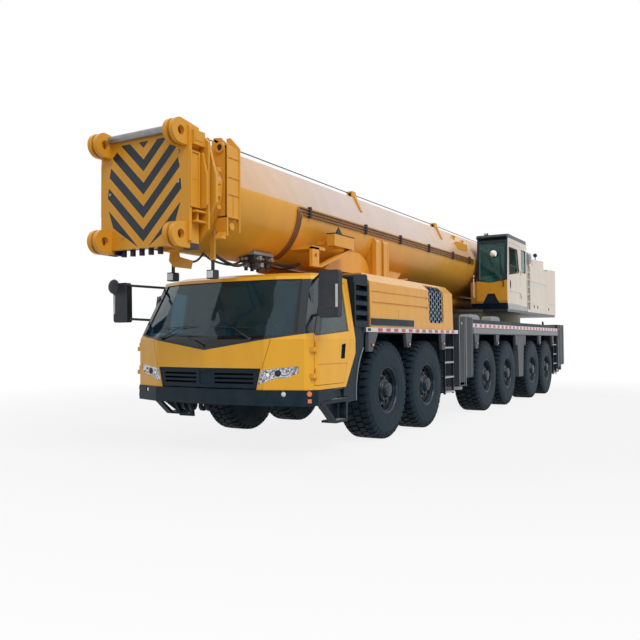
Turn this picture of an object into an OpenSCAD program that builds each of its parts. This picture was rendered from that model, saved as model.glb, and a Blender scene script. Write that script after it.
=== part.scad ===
// Six-axle mobile crane: a carrier with its road cab, four outriggers and a
// slewing superstructure with a telescopic boom. X points forward, Y left, Z up.
// Lengths along the crane are measured from the first axle, then shifted by
// mid_shift so that the origin lies on the ground below the middle of its length.

/* [Running gear] */
// Overall width over the tyres and deck
body_w = 3000; // [2900:10:3100]
// Distance between the two axles of a pair
pair_step = 1575; // [1560:5:1700]
// Distance from axle 2 to axle 3
gap_front = 3335; // [3250:5:3600]
// Distance from axle 4 to axle 5
gap_rear = 2300; // [2250:5:2500]
// Tyre diameter
tyre_d = 1475; // [1440:5:1480]
// Tyre width
tyre_w = 520; // [480:10:540]
// Rim diameter at the flange
rim_d = 690; // [660:5:720]
// Distance of the steering pivot inboard of the wheel's middle
king_in = 340; // [320:5:360]

/* [Frame and deck] */
// Width of the box frame between the wheels
frame_w = 840; // [760:10:900]
// Underside of the box frame
frame_low = 990; // [985:5:1040]
// Top of the front deck
deck_top = 1670; // [1660:5:1700]
// Top of the rear deck
rear_deck_top = 1900; // [1860:5:1920]
// Rear overhang behind the last axle
rear_overhang = 2210; // [2100:10:2300]
// Width along X of an outrigger housing
leg_box_l = 810; // [780:10:840]
// Underside of the jack housings
leg_low = 540; // [520:10:600]

/* [Road cab] */
// Nose of the cab ahead of the first axle
cab_front = 2500; // [2450:10:2560]
// Rear wall of the cab ahead of the first axle
cab_rear = 1080; // [1060:5:1120]
// Height of the cab's roof edge
cab_roof = 2330; // [2310:5:2350]
// Thickness of the cab's walls and doors
cab_wall = 55; // [45:1:65]
// Height of the waist line under the side windows
waist = 1500; // [1480:5:1530]
// Underside of the bumper
bumper_low = 660; // [640:5:700]

/* [Engine cover] */
// Front end of the engine cover
hood_front = 560; // [480:10:600]
// Rear end of the engine cover
hood_rear = -2900; // [-2960:10:-2800]
// Top edge of the engine cover
hood_top = 2470; // [2430:5:2480]

/* [Superstructure] */
// Inset of the slewing ring from the edges of the deck
ring_in = 60; // [40:5:120]
// Top of the slewing ring
ring_top = 2140; // [2120:5:2160]
// Height of the operator's cab roof
op_roof = 3950; // [3850:10:4000]
// Rear end of the machinery housing behind the first axle
house_rear = 11750; // [11600:10:11850]
// Top of the machinery housing beside the ladder
house_top = 3400; // [3350:10:3450]

/* [Boom] */
// Half of the boom's width
boom_hw = 720; // [700:5:730]
// Height of the centre of the boom's round belly
boom_z = 3320; // [3310:5:3340]
// Height of the boom's flat top above that centre
boom_rise = 580; // [540:5:600]
// Wall of each boom section
boom_wall = 22; // [16:1:26]
// Space between one section and the next
boom_gap = 13; // [10:1:16]
// Front end of the boom's head lugs ahead of the first axle
boom_reach = 3860; // [3820:10:3900]
// Height of the boom's pivot
pivot_z = 3100; // [3090:5:3110]
// Distance of the boom's pivot behind the slewing centre
pivot_back = 2965; // [2940:5:2980]
// Height of the lift cylinder
lift_z = 2420; // [2410:1:2425]
// Radius of the lift cylinder's barrel
lift_r = 145; // [130:5:150]

/* [Hidden] */
$fn = 48;

// Gap at a seat between two bodies
seat = 0.3;
// Radial clearance of a shaft in its bore
run_fit = 0.05;
// Gap round a door leaf
door_gap = 6;
half_w = body_w / 2;
tyre_r = tyre_d / 2;
wheel_y = half_w - tyre_w / 2;
axle_x = [0, -pair_step, -pair_step - gap_front, -2 * pair_step - gap_front,
  -2 * pair_step - gap_front - gap_rear, -3 * pair_step - gap_front - gap_rear];
king_y = wheel_y - king_in;
ring_d = body_w - 2 * ring_in;
rear_x = axle_x[5] - rear_overhang;
mid_shift = -(boom_reach + rear_x) / 2;
slew_x = (axle_x[3] + axle_x[4]) / 2;
// Rear deck and outrigger housings
front_leg_x = axle_x[1] - tyre_r - 830;
front_leg_back = front_leg_x - leg_box_l;
rear_leg_x = rear_x + leg_box_l + 30;
rear_deck_front = front_leg_back - 30;
rear_deck_back = rear_leg_x + 20;
deck_edge_low = 1600;
leg_top = 1930;
leg_col = (leg_box_l - 20) / 2;
beam_low = 1010;
beam_h = 420;
beam_w = 300;
jack_r = 95;
// Amber, charcoal and the other paints
amber = [0.96, 0.62, 0.10];
charcoal = [0.13, 0.14, 0.16];
steel_grey = [0.42, 0.43, 0.44];
cream = [0.93, 0.90, 0.80];
glass_tint = [0.10, 0.13, 0.16, 0.8];
black = [0.06, 0.06, 0.07];

module placed() {
  translate([mid_shift, 0, 0]) children();
}

// A box between two corners
module block(x0, x1, y0, y1, z0, z1) {
  translate([x0, y0, z0]) cube([x1 - x0, y1 - y0, z1 - z0]);
}

// An XZ outline carried along Y
module side_plate(points, y0, y1) {
  translate([0, y1, 0]) rotate([90, 0, 0]) linear_extrude(y1 - y0) polygon(points);
}

// A YZ outline carried along X
module cross_plate(points, x0, x1) {
  translate([x0, 0, 0]) rotate([90, 0, 90]) linear_extrude(x1 - x0) polygon(points);
}

// A box outline with cut corners
function cut_box(w, low, high, b) = [[-w, low + b], [-w + b, low], [w - b, low], [w, low + b],
  [w, high - b], [w - b, high], [-w + b, high], [-w, high - b]];

module both_sides() {
  children();
  mirror([0, 1, 0]) children();
}

// A straight round bar between two points
module bar(a, b, r) {
  v = b - a;
  len = norm(v);
  translate(a) rotate([0, acos(v[2] / len), atan2(v[1], v[0])]) cylinder(h = len, r = r);
}

// A cylinder along Y between two planes
module y_round(x, z, y0, y1, r) {
  translate([x, y1, z]) rotate([90, 0, 0]) cylinder(h = y1 - y0, r = r);
}

// Suspension struts beside the frame
strut_y = frame_w / 2 + 95;
strut_top = 1380;

// Ends of the cross arms inboard of the deck's edges
arm_end = 120;

// Box frame: front part ahead of the first outriggers, rear part between the two sets
frame_top = deck_edge_low - seat;
frame_nose = cab_front - 300;
module chassis_frame() placed() color(charcoal) {
  side_plate([[frame_nose, bumper_low + 40], [frame_nose, cab_low - seat], [cab_rear - 60, cab_low - seat],
    [cab_rear - 60, frame_top - 80], [cab_rear - 200, frame_top], [front_leg_x + seat, frame_top],
    [front_leg_x + seat, frame_low], [cab_rear - 260, frame_low], [cab_rear - 160, bumper_low + 40]],
    -frame_w / 2, frame_w / 2);
  side_plate([[front_leg_back - seat, frame_top], [rear_leg_x + seat, frame_top],
    [rear_leg_x + seat, frame_low],
    [axle_x[4] + tyre_r, frame_low], [axle_x[4] + tyre_r + 160, frame_low - 120],
    [axle_x[3] - tyre_r - 160, frame_low - 120], [axle_x[3] - tyre_r, frame_low],
      [front_leg_back - seat, frame_low]],
    -frame_w / 2, frame_w / 2);
  // Brackets over the suspension struts
  both_sides() for (x = axle_x) block(x - 90, x + 90, frame_w / 2 - 1,
    strut_y + 80, strut_top, strut_top + 90);
  // Cross arms that carry the deck edges
  for (x = [cab_rear - 430, axle_x[1] - tyre_r - 150, axle_x[2] + tyre_r + 70,
    axle_x[3] - tyre_r - 90, axle_x[4] + tyre_r + 90])
    block(x - 60, x + 60, -half_w + arm_end, half_w - arm_end, frame_top - 140, frame_top);
}

module leg_housing(x_front) {
  // Twin tunnels side by side, the front one for the left beam
  difference() {
    block(x_front - leg_box_l, x_front, -half_w + leg_col + 60, half_w - leg_col - 60,
      beam_low - 60, deck_top - 110 + 200);
    for (s = [0, 1]) {
      xm = x_front - leg_box_l / 4 - s * leg_box_l / 2;
      block(xm - beam_w / 2 - 8, xm + beam_w / 2 + 8, -half_w,
        half_w, beam_low - seat, beam_low + beam_h + 8);
    }
  }
  // Closed end columns, one on each side, beside the sliding jack column
  for (s = [0, 1]) {
    xm = x_front - leg_box_l / 4 - s * leg_box_l / 2;
    sgn = s == 0 ? -1 : 1;
    block(xm - leg_col / 2, xm + leg_col / 2, min(sgn * half_w, sgn * (half_w - leg_col)),
      max(sgn * half_w, sgn * (half_w - leg_col)), beam_low - 260, leg_top);
    block(xm - leg_col / 2, xm + leg_col / 2, min(sgn * (half_w - leg_col - 60), sgn * (half_w - leg_col)),
      max(sgn * (half_w - leg_col - 60), sgn * (half_w - leg_col)), beam_low + beam_h + 8, leg_top);
  }
}

module outrigger_boxes() placed() color(steel_grey) {
  leg_housing(front_leg_x);
  leg_housing(rear_leg_x);
  // Rear lamps and the under-run bar between them
  both_sides() block(rear_x, rear_x + 35, half_w - leg_col - 60, half_w - leg_col + 300, 1130, 1290);
  block(rear_x + 5, rear_x + 40, -half_w + leg_col + 60, half_w - leg_col - 60, beam_low - 60, beam_low + 80);
}

tool_low = 600;
// A fender bracket that hangs below the deck edge
module edge_bracket(x, l, drop) {
  side_plate([[x - l / 2, deck_edge_low], [x + l / 2, deck_edge_low], [x + l / 4, deck_edge_low - drop],
    [x - l / 4, deck_edge_low - drop]], half_w - 60, half_w - 6);
}

module deck() placed() color(steel_grey) {
  block(front_leg_x + 30, hood_front + 190, -half_w, half_w, deck_edge_low, deck_top);
  difference() {
    union() {
      block(rear_deck_back, rear_deck_front, -half_w, half_w, deck_edge_low, rear_deck_top - 80);
      block(rear_deck_back, rear_deck_front, -half_w + 40, half_w - 40, rear_deck_top - 80.5, rear_deck_top);
    }
    // Open underneath, with two webs over the frame
    for (y = [[-half_w + 60, -frame_w / 2 + 40], [-frame_w / 2 + 110, frame_w / 2 - 110],
      [frame_w / 2 - 40, half_w - 60]])
      block(rear_deck_back + 60, rear_deck_front - 60, y[0], y[1], deck_edge_low - 10, rear_deck_top - 60);
  }
  both_sides() {
    for (x = [-pair_step / 2, (axle_x[2] + axle_x[3]) / 2, (axle_x[4] + axle_x[5]) / 2]) edge_bracket(x,
      260, 230);
    for (x = [axle_x[1] - tyre_r - 30, axle_x[5] - tyre_r - 30]) edge_bracket(x, 220, 290);
    edge_bracket(axle_x[2] + tyre_r - 80, 300, 290);
    // Stay ahead of the first wheel
    side_plate([[hood_front + 100, deck_edge_low + 10], [hood_front - 230, deck_edge_low + 10],
      [hood_front - 20, deck_edge_low - 280],
      [hood_front + 100, deck_edge_low - 280]], half_w - 60, half_w - 6);
    edge_bracket(axle_x[3] - tyre_r - 20, 200, 240);
    edge_bracket(axle_x[4] + tyre_r + 20, 200, 240);
    // Tool locker between the two rear wheel pairs
    side_plate([[slew_x - 380, deck_edge_low + 10], [slew_x + 380, deck_edge_low + 10],
      [slew_x + 250, tool_low + 600],
      [slew_x + 200, tool_low], [slew_x - 200, tool_low], [slew_x - 250, tool_low + 600]],
        half_w - arm_end + seat, half_w - 6);
    // Covered mats that lie on the rear deck
    for (x = [rear_deck_front - 420, rear_deck_front - 1900]) side_plate([[x - 380, rear_deck_top - 10],
      [x + 330, rear_deck_top - 10],
      [x + 300, rear_deck_top + 70], [x + 190, rear_deck_top + 105], [x - 200, rear_deck_top + 105],
        [x - 350, rear_deck_top + 60]],
      half_w - 330, half_w - 110);
  }
}

// One live axle: tube, centre drive and the yokes or spindles at its ends
module axle_unit(x, steered) {
  y_round(x, tyre_r, -king_y + 100, king_y - 100, 105);
  translate([x, 0, tyre_r]) sphere(r = 240);
  bar([x - 330, 0, tyre_r + 60], [x + 330, 0, tyre_r + 60], 90);
  both_sides() {
    if (steered) {
      for (s = [-1, 1]) {
        translate([x, king_y, tyre_r + s * 175 - 25]) cylinder(h = 50, r = 68);
        cross_plate([[king_y - 190, tyre_r + s * 20], [king_y - 110, tyre_r + s * 20],
          [king_y - 70, tyre_r + s * 150],
          [king_y, tyre_r + s * 150], [king_y, tyre_r + s * 200], [king_y - 110, tyre_r + s * 200],
            [king_y - 190, tyre_r + s * 110]], x - 55, x + 55);
      }
    }
    else {
      y_round(x, tyre_r, king_y - 110, wheel_y + 130, 60);
      y_round(x, tyre_r, king_y + 10, wheel_y - 100, 225);
    }
    // Suspension cylinders stand on the axle, below the frame's brackets
    bar([x, strut_y, tyre_r + 80], [x, strut_y, strut_top - seat], 60);
  }
}

module axles() placed() color(charcoal) {
  for (i = [0:5]) axle_unit(axle_x[i], i != 2 && i != 3);
}

module knuckle(i, side) placed() color(charcoal) mirror([0, side > 0 ? 0 : 1, 0]) {
  x = axle_x[i];
  translate([x, king_y, tyre_r - 150 + seat]) cylinder(h = 300 - 2 * seat, r = 60);
  y_round(x, tyre_r, king_y, wheel_y + 130, 60);
  y_round(x, tyre_r, king_y + 75, wheel_y - 100, 225);
}

// Tyre and rim, turned about the axle; the disc carries a stepped hub
module wheel(i, side) placed() color(black)
  translate([axle_x[i], side * wheel_y, tyre_r]) mirror([0, side > 0 ? 0 : 1, 0]) rotate([-90, 0, 0])
    rotate_extrude($fn = 72) polygon(wheel_profile());

rim_r = rim_d / 2;
tw = tyre_w / 2;
function wheel_profile() = [
  [60 + run_fit, -95], [170, -95], [170, -20], [rim_r - 70, 0], [rim_r - 45, -tw + 30],
  [rim_r, -tw + 22], [rim_r + 12, -tw + 8], [rim_r + 130, -tw], [tyre_r - 90, -tw + 14],
  [tyre_r - 25, -tw + 50], [tyre_r - 4, -tw + 95], [tyre_r, 0], [tyre_r - 4, tw - 95], [tyre_r - 25, tw - 50],
  [tyre_r - 90, tw - 14], [rim_r + 130, tw], [rim_r + 12, tw - 8], [rim_r, tw - 22], [rim_r - 40, tw - 36],
  [rim_r - 58, tw - 110], [rim_r - 120, tw - 150], [178, tw - 150], [170, tw - 70], [120, tw - 50],
  [112, tw + 2], [80, tw + 12], [0, tw + 14], [0, 132], [60 + run_fit, 132]];

// Plan outline of the road cab at one level, with the swept corners
function cab_half(nose, w, t) = [[cab_rear + t, w - t], [nose - 420 - t * 0.4, w - t],
  [nose - 255 - t * 0.8, w - 115 - t * 0.8], [nose - 75 - t, w * 0.6], [nose - t, 0]];
function mirror_y(pts) = [for (i = [len(pts) - 2:-1:0]) [pts[i][0], -pts[i][1]]];
function cab_plan(nose, w, t) = concat(cab_half(nose, w, t), mirror_y(cab_half(nose, w, t)));
cab_low = 860;
roof_nose = cab_front - 400;
roof_w = half_w - 130;

module cab_solid(t) {
  low = t > 0 ? cab_low + t : cab_low;
  translate([0, 0, low]) linear_extrude(waist - low) polygon(cab_plan(cab_front, half_w, t));
  hull() {
    translate([0, 0, waist - 1]) linear_extrude(1) polygon(cab_plan(cab_front, half_w, t));
    translate([0, 0, cab_roof - t - 1]) linear_extrude(1) polygon(cab_plan(roof_nose, roof_w, t));
  }
  if (t == 0) hull() {
    translate([0, 0, cab_roof - 1]) linear_extrude(1) polygon(cab_plan(roof_nose, roof_w, 0));
    translate([0, 0, cab_roof + 50]) linear_extrude(1) polygon(cab_plan(roof_nose - 60, roof_w, 110));
  }
}

module cab_skin(out, thick) {
  difference() {
    cab_solid(out);
    cab_solid(out + thick);
  }
}

screen_bottom = 1385;
module screen_prism(g) {
  cross_plate([[0, screen_bottom + g], [half_w - 215 - g, waist + 75 + g],
    [roof_w - 215 - g, cab_roof - 45 - g],
    [-roof_w + 215 + g, cab_roof - 45 - g], [-half_w + 215 + g, waist + 75 + g]],
      cab_rear + 350, cab_front + 50);
}

// Door outline seen from the side, grown by g
hinge_x = cab_front - 375;
door_back = cab_rear + 90;
module door_prism(g) {
  side_plate([[door_back - g, cab_roof - 70 + g], [door_back - g, waist + 150],
    [door_back + 240 - g, cab_low + 60 - g],
    [hinge_x + g, cab_low + 60 - g], [hinge_x + g, waist + 20], [hinge_x - 385 + g, cab_roof - 70 + g]],
      roof_w - 400, half_w + 30);
}
module door_window(g) {
  side_plate([[door_back + 70 + g, cab_roof - 125 - g], [door_back + 70 + g, waist + 120 + g],
    [hinge_x - 110 - g, waist + 50 + g], [hinge_x - 420 - g, cab_roof - 125 - g]], roof_w - 450, half_w + 60);
}

hinge_y = half_w - 5;
hinge_levels = [cab_low + 150, waist - 160];
module door_knuckle(z, on_shell) {
  translate([hinge_x + 3, hinge_y, z]) cylinder(h = 60, r = 16);
  if (on_shell) block(hinge_x + door_gap, hinge_x + 60, hinge_y - 60, hinge_y, z, z + 60);
  else block(hinge_x - 60, hinge_x, hinge_y - 50, hinge_y, z, z + 60);
}

// Outlines in the cab's face: one head lamp, and the dark band between the two
lamp_top = 1110;
module lamp_prism(g) {
  cross_plate([[half_w - 634 - g, lamp_top + g], [half_w - 181 + g, lamp_top + 50 + g],
    [half_w - 182 + g, lamp_top - 35],
    [half_w - 325, lamp_top - 100 - g], [half_w - 420, lamp_top - 92 - g],
      [half_w - 688 - g, lamp_top - 184 - g]],
    cab_rear + 350, cab_front + 50);
}
module band_prism(g) {
  cross_plate([[-half_w + 720 - g, cab_low - 50], [half_w - 720 + g, cab_low - 50],
    [half_w - 645 + g, lamp_top + 20 + g],
    [-half_w + 645 - g, lamp_top + 20 + g]], cab_rear + 350, cab_front + 50);
}

module cab_shell() placed() color(amber) {
  difference() {
    cab_skin(0, cab_wall);
    screen_prism(0);
    both_sides() door_prism(door_gap);
    both_sides() lamp_prism(0);
    band_prism(0);
    // Step over the first wheel's front
    both_sides() side_plate([[cab_rear - 10, cab_low - 10], [door_back + 200, cab_low - 10],
      [cab_rear - 10, waist - 180]], half_w - 700, half_w + 10);
    // Joints between the corner panels and the front panel
    both_sides() cross_plate([[half_w - 522, waist - 6], [half_w - 514, waist - 6],
      [half_w - 622, lamp_top + 15], [half_w - 630, lamp_top + 15]],
      cab_rear + 900, cab_front + 50);
  }
  both_sides() for (z = hinge_levels) door_knuckle(z, true);
}

module cab_glass() placed() color(glass_tint) {
  intersection() {
    cab_skin(10, 8);
    screen_prism(seat);
  }
}

module door_leaf() {
  difference() {
    intersection() {
      cab_skin(0, cab_wall);
      door_prism(0);
    }
    door_window(0);
    // Grip recess and the crease along the door
    side_plate([[door_back + 190, waist - 60], [door_back + 300, waist - 70],
      [door_back + 330, waist - 260], [door_back + 220, waist - 260]],
      half_w - 30, half_w + 10);
    block(door_back + 60, hinge_x + 10, half_w - 8, half_w + 10, waist - 330, waist - 318);
  }
  for (z = hinge_levels) door_knuckle(z + 60 + seat, false);
}

module leaf_glass() {
  intersection() {
    cab_skin(12, 7);
    door_window(seat);
  }
}

module cab_door_left() placed() color(amber) door_leaf();
module cab_door_right() placed() color(amber) mirror([0, 1, 0]) door_leaf();
module door_glass_left() placed() color(glass_tint) leaf_glass();
module door_glass_right() placed() color(glass_tint) mirror([0, 1, 0]) leaf_glass();

module seat_shape(x, y) {
  base = cab_low + cab_wall;
  block(x - 250, x + 250, y - 250, y + 250, base + seat, base + 330);
  side_plate([[x - 290, base + 330], [x + 260, base + 330], [x + 270, base + 420], [x - 180, base + 440],
    [x - 300, base + 1080], [x - 400, base + 1060]], y - 240, y + 240);
}

module cab_interior() placed() color(charcoal) {
  x = cab_rear + 460;
  seat_shape(x, 720);
  seat_shape(x, -720);
  // Dashboard with the steering column
  base = cab_low + cab_wall;
  side_plate([[cab_front - 560, base + seat], [cab_front - 330, base + seat],
    [cab_front - 330, base + 420], [cab_front - 480, base + 520], [cab_front - 560, base + 430]],
    -1050, 1050);
  hub = [cab_front - 640, 720, base + 670];
  bar([cab_front - 520, 720, base + 420], hub, 28);
  translate(hub) rotate([0, -48, 0]) {
    rotate_extrude() translate([200, 0]) circle(r = 18);
    block(-190, 190, -22, 22, -12, 12);
  }
}

// Bumper band that follows the nose, the slatted band above it, a stirrup step and
// two towing eyes
module front_bumper() placed() color(charcoal) {
  difference() {
    translate([0, 0, bumper_low]) linear_extrude(cab_low - seat - bumper_low) difference() {
      polygon(cab_plan(cab_front + 15, half_w, 0));
      polygon(cab_plan(cab_front + 15, half_w, 70));
      translate([cab_rear - 100, -half_w - 10]) square([700, body_w + 20]);
    }
    // The bumper's ends rise towards the wheels
    both_sides() side_plate([[cab_rear, bumper_low - 10], [step_front + 110, bumper_low - 10],
      [step_front + 20, bumper_low + 62], [cab_rear, bumper_low + 62]],
      half_w - 200, half_w + 20);
    // Fog lamp bores
    both_sides() translate([cab_front - 300, half_w - 360, bumper_low + 150]) rotate([0,
      90, 0]) cylinder(h = 400, r = 42);
  }
  difference() {
    intersection() {
      cab_skin(14, 36);
      band_prism(-seat);
      block(cab_rear + 350, cab_front + 50, -half_w, half_w, cab_low - seat - 1, waist);
    }
    for (z = [cab_low + 70:55:lamp_top - 30]) both_sides() block(cab_front - 220,
      cab_front + 20, 150, half_w - 760, z, z + 26);
    block(cab_front - 32, cab_front + 20, -95, 95, cab_low + 60, lamp_top - 20);
  }
  // Stirrup step under the bumper
  cross_plate([[-720, bumper_low + 60], [-660, bumper_low + 60], [-525, bumper_low - 150],
    [-380, bumper_low - 150], [-385, bumper_low + 60],
    [-345, bumper_low + 60], [-310, bumper_low - 190], [-545, bumper_low - 190]],
      cab_front - 190, cab_front - 150);
  for (y = [-410, -120]) difference() {
    union() {
      y_round(cab_front - 110, bumper_low - 30, y, y + 150, 75);
      block(cab_front - 185, cab_front - 90, y, y + 150, bumper_low - 30, bumper_low + 70);
    }
    y_round(cab_front - 110, bumper_low - 30, y + 40, y + 110, 95);
    y_round(cab_front - 110, bumper_low - 30, y - 5, y + 155, 28);
  }
}

module headlamps() placed() color("silver") {
  both_sides() intersection() {
    cab_skin(4, 36);
    lamp_prism(-seat);
  }
}

// Two door mirrors on arms ahead of the doors, and a round kerb mirror
mirror_x = cab_front - 320;
module mirrors() placed() color(black) {
  both_sides() {
    cross_plate([[half_w + 130, 1760], [half_w + 370, 1760], [half_w + 390, 1790], [half_w + 400, 2300],
      [half_w + 380, 2340],
      [half_w + 150, 2340], [half_w + 120, 2310], [half_w + 110, 1790]], mirror_x, mirror_x + 100);
    difference() {
      union() {
        bar([mirror_x - 180, half_w - 170, 1790], [mirror_x + 50, half_w + 130, 1810], 18);
        bar([mirror_x - 400, roof_w - 120, 2270], [mirror_x + 50, half_w + 130, 2300], 18);
      }
      cab_solid(-seat);
    }
  }
  mirror([0, 1, 0]) {
    bar([mirror_x + 90, half_w + 330, 2310], [mirror_x + 190, half_w + 300, 2310], 12);
    translate([mirror_x + 175, half_w + 290, 2280]) rotate([0, 90, 0]) rotate_extrude()
      polygon([[0, 0], [90, 0], [108, 12], [100, 30], [60, 46], [0, 52]]);
  }
}

// Intake louvres behind the cab and the honeycomb screens in the engine cover's sides
louvre_step = 140;
comb_front = hood_rear + 1180;
comb_back = hood_rear + 480;
comb_low = deck_top + 110;
comb_pitch = 96;
module comb_region(g) {
  side_plate([[comb_back + 40 - g, comb_low - g], [comb_front - 40 + g, comb_low - g],
    [comb_front + g, comb_low + 60],
    [comb_front + g, hood_top + 20], [comb_back - g, hood_top + 20], [comb_back - g, comb_low + 60]],
      half_w - 150, half_w + 10);
}
module comb_holes() {
  for (i = [0:7], j = [0:7]) {
    x = comb_back + 20 + i * comb_pitch;
    z = comb_low + 20 + j * comb_pitch * 1.12 + (i % 2) * comb_pitch * 0.56;
    translate([x, half_w - 200, z]) rotate([-90, 0, 0]) cylinder(h = 300, r = comb_pitch * 0.53, $fn = 6);
  }
}
module grilles() placed() color(black) {
  both_sides() {
    difference() {
      side_plate([[hood_front + 60, deck_top + seat], [cab_rear - 20, deck_top + seat],
        [cab_rear - 20, cab_roof + 40],
        [cab_rear - 60, cab_roof + 70], [hood_front + 100, cab_roof + 100],
          [hood_front + 60, cab_roof + 70]], half_w - 240, half_w - 20);
      // Each vent slopes down and out
      for (z = [deck_top + 70:louvre_step:cab_roof - 60])
        cross_plate([[half_w - 110, z + 60], [half_w, z], [half_w, z + 95], [half_w - 110, z + 95]],
          hood_front + 110, cab_rear - 60);
      block(hood_front, cab_rear, half_w - 40, half_w, cab_roof - 40, cab_roof + 110);
    }
    difference() {
      intersection() {
        difference() {
          hood_section(6);
          hood_section(30);
        }
        comb_region(-seat);
      }
      comb_holes();
    }
  }
}

module hood_section(g) {
  cross_plate([[-half_w + 20 + g, deck_top + seat + g], [half_w - 20 - g, deck_top + seat + g],
    [half_w - 40 - g, hood_top - 130], [half_w - 180 - g, hood_top - g], [-half_w + 180 + g, hood_top - g],
    [-half_w + 40 + g, hood_top - 130]], hood_rear + g, hood_front - g);
}

module engine_hood() placed() color(amber) {
  difference() {
    hood_section(0);
    cross_plate([[-half_w + 60, deck_top - 10], [half_w - 60, deck_top - 10], [half_w - 90, hood_top - 150],
      [half_w - 210, hood_top - 40], [-half_w + 210, hood_top - 40], [-half_w + 90, hood_top - 150]],
        hood_rear + 40, hood_front - 40);
    both_sides() {
      comb_region(0);
      // Two grooves along the side with sloping edges
      for (z = [hood_top - 300, hood_top - 460]) cross_plate([[half_w - 48, z + 8], [half_w - 10, z - 12],
        [half_w - 10, z + 44], [half_w - 48, z + 32]],
        comb_front + 60, hood_front - 60);
      // Joint of the lift-off side panel
      block(hood_front - 1000, hood_front - 990, half_w - 34, half_w, deck_top + 60, hood_top - 500);
    }
  }
  // Grey flap that stands open on the top
  both_sides() side_plate([[hood_front - 1420, hood_top - 6], [hood_front - 1380, hood_top - 6],
    [hood_front - 1850, hood_top + 50],
    [hood_front - 1880, hood_top + 38]], half_w - 460, half_w - 240);
}

module engine_block() placed() color("dimgray") {
  block(hood_rear + 500, hood_front - 700, -400, 400, deck_top + seat, 2300);
}

module ladder(x, w, rungs, top) {
  for (s = [-1, 1]) block(x + s * w / 2 - 15, x + s * w / 2 + 15,
    half_w - 70, half_w - 30, top - 270 * rungs - 20, top);
  for (i = [1:rungs]) block(x - w / 2, x + w / 2, half_w - 130,
    half_w - 30, top - 270 * i, top - 270 * i + 30);
}

module ladders() placed() color(steel_grey) {
  both_sides() {
    ladder(front_leg_x + 430, 430, 4, deck_edge_low - seat);
    ladder(rear_leg_x + 240, 360, 4, deck_edge_low - seat);
    // Entry steps below the road cab's doors
    entry_step();
  }
}

step_top = cab_low - 150;
step_front = cab_rear + 900;
module entry_step() {
  difference() {
    side_plate([[cab_rear + 170, step_top], [step_front, step_top], [step_front - 390, step_top - 320],
      [cab_rear + 180, step_top - 320]],
      half_w - 130, half_w - 30);
    side_plate([[cab_rear + 230, step_top - 50], [step_front - 110, step_top - 50],
      [step_front - 410, step_top - 280], [cab_rear + 235, step_top - 280]],
      half_w - 140, half_w - 20);
  }
  // Treads, the wider one on top, and the hanger behind it
  block(cab_rear + 170, step_front, half_w - 250, half_w - 30, step_top - 30, step_top);
  block(cab_rear + 180, step_front - 390, half_w - 250, half_w - 30, step_top - 320, step_top - 290);
  side_plate([[cab_rear + 120, cab_low - seat], [cab_rear + 420, cab_low - seat],
    [cab_rear + 500, step_top - 5], [cab_rear + 200, step_top - 5]],
    half_w - 250, half_w - 200);
}

module slewing_ring() placed() color([0.55, 0.50, 0.20]) {
  translate([slew_x, 0, rear_deck_top + seat]) difference() {
    cylinder(h = ring_top - rear_deck_top - seat, r = ring_d / 2, $fn = 96);
    translate([0, 0, -1]) cylinder(h = 400, r = ring_d / 2 - 260, $fn = 96);
  }
}

// Sliding outrigger beam with its jack column; the jack leg slides inside
module beam(x_front, left) placed() color(steel_grey) {
  xm = x_front - leg_box_l / 4 - (left ? 0 : leg_box_l / 2);
  mirror([0, left ? 0 : 1, 0]) {
    block(xm - beam_w / 2, xm + beam_w / 2, -half_w + leg_col + 20,
      half_w - leg_col + 20, beam_low, beam_low + beam_h);
    difference() {
      block(xm - leg_col / 2 + 4, xm + leg_col / 2 - 4, half_w - leg_col + 4, half_w, leg_low + 90, leg_top);
      translate([xm, half_w - leg_col / 2, leg_low]) cylinder(h = leg_top - leg_low - 60,
        r = jack_r + run_fit);
    }
  }
}

module jack(x_front, left) placed() color(black) {
  xm = x_front - leg_box_l / 4 - (left ? 0 : leg_box_l / 2);
  mirror([0, left ? 0 : 1, 0]) translate([xm, half_w - leg_col / 2, leg_low]) {
    cylinder(h = 1150, r = jack_r);
    cylinder(h = 60, r = 175);
  }
}

// Slewing platform: round base, side cheeks for the boom's pivot, cab and housing supports
pivot_x = slew_x - pivot_back;
lift_foot_x = pivot_x + 1600;
lift_eye_x = pivot_x + 7400;
cheek_y = boom_hw + 85;
cheek_t = 60;
house_x = -house_rear;
plate_z = ring_top + seat;
op_rear = slew_x - 620;
op_front = slew_x + 1135;
op_in = boom_hw + 55;
module turntable() placed() color(amber) {
  translate([slew_x, 0, plate_z]) cylinder(h = 60, r = ring_d / 2 + 20, $fn = 96);
  block(house_x + 60, slew_x, -half_w + 60, half_w - 60, plate_z, plate_z + 60);
  block(slew_x, op_front, op_in, half_w, plate_z, plate_z + 60);
  block(op_rear, slew_x, op_in, half_w, plate_z, plate_z + 60);
  both_sides() difference() {
    side_plate([[slew_x - 900, plate_z + 50], [pivot_x + 420, pivot_z + 330], [pivot_x - 180, pivot_z + 380],
      [pivot_x - 420, pivot_z + 120], [house_x + 120, plate_z + 400], [house_x + 120, plate_z + 50]],
        cheek_y, cheek_y + cheek_t);
    y_round(pivot_x, pivot_z, cheek_y - 5, cheek_y + cheek_t + 5, 110 + run_fit);
  }
  // Foot lugs of the lift cylinder with their pin
  both_sides() side_plate([[lift_foot_x - 260, plate_z + 50], [lift_foot_x + 260, plate_z + 50],
    [lift_foot_x + 110, lift_z + 60], [lift_foot_x - 110, lift_z + 60]], 150, 200);
  y_round(lift_foot_x, lift_z, -200, 200, 60);
}

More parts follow.
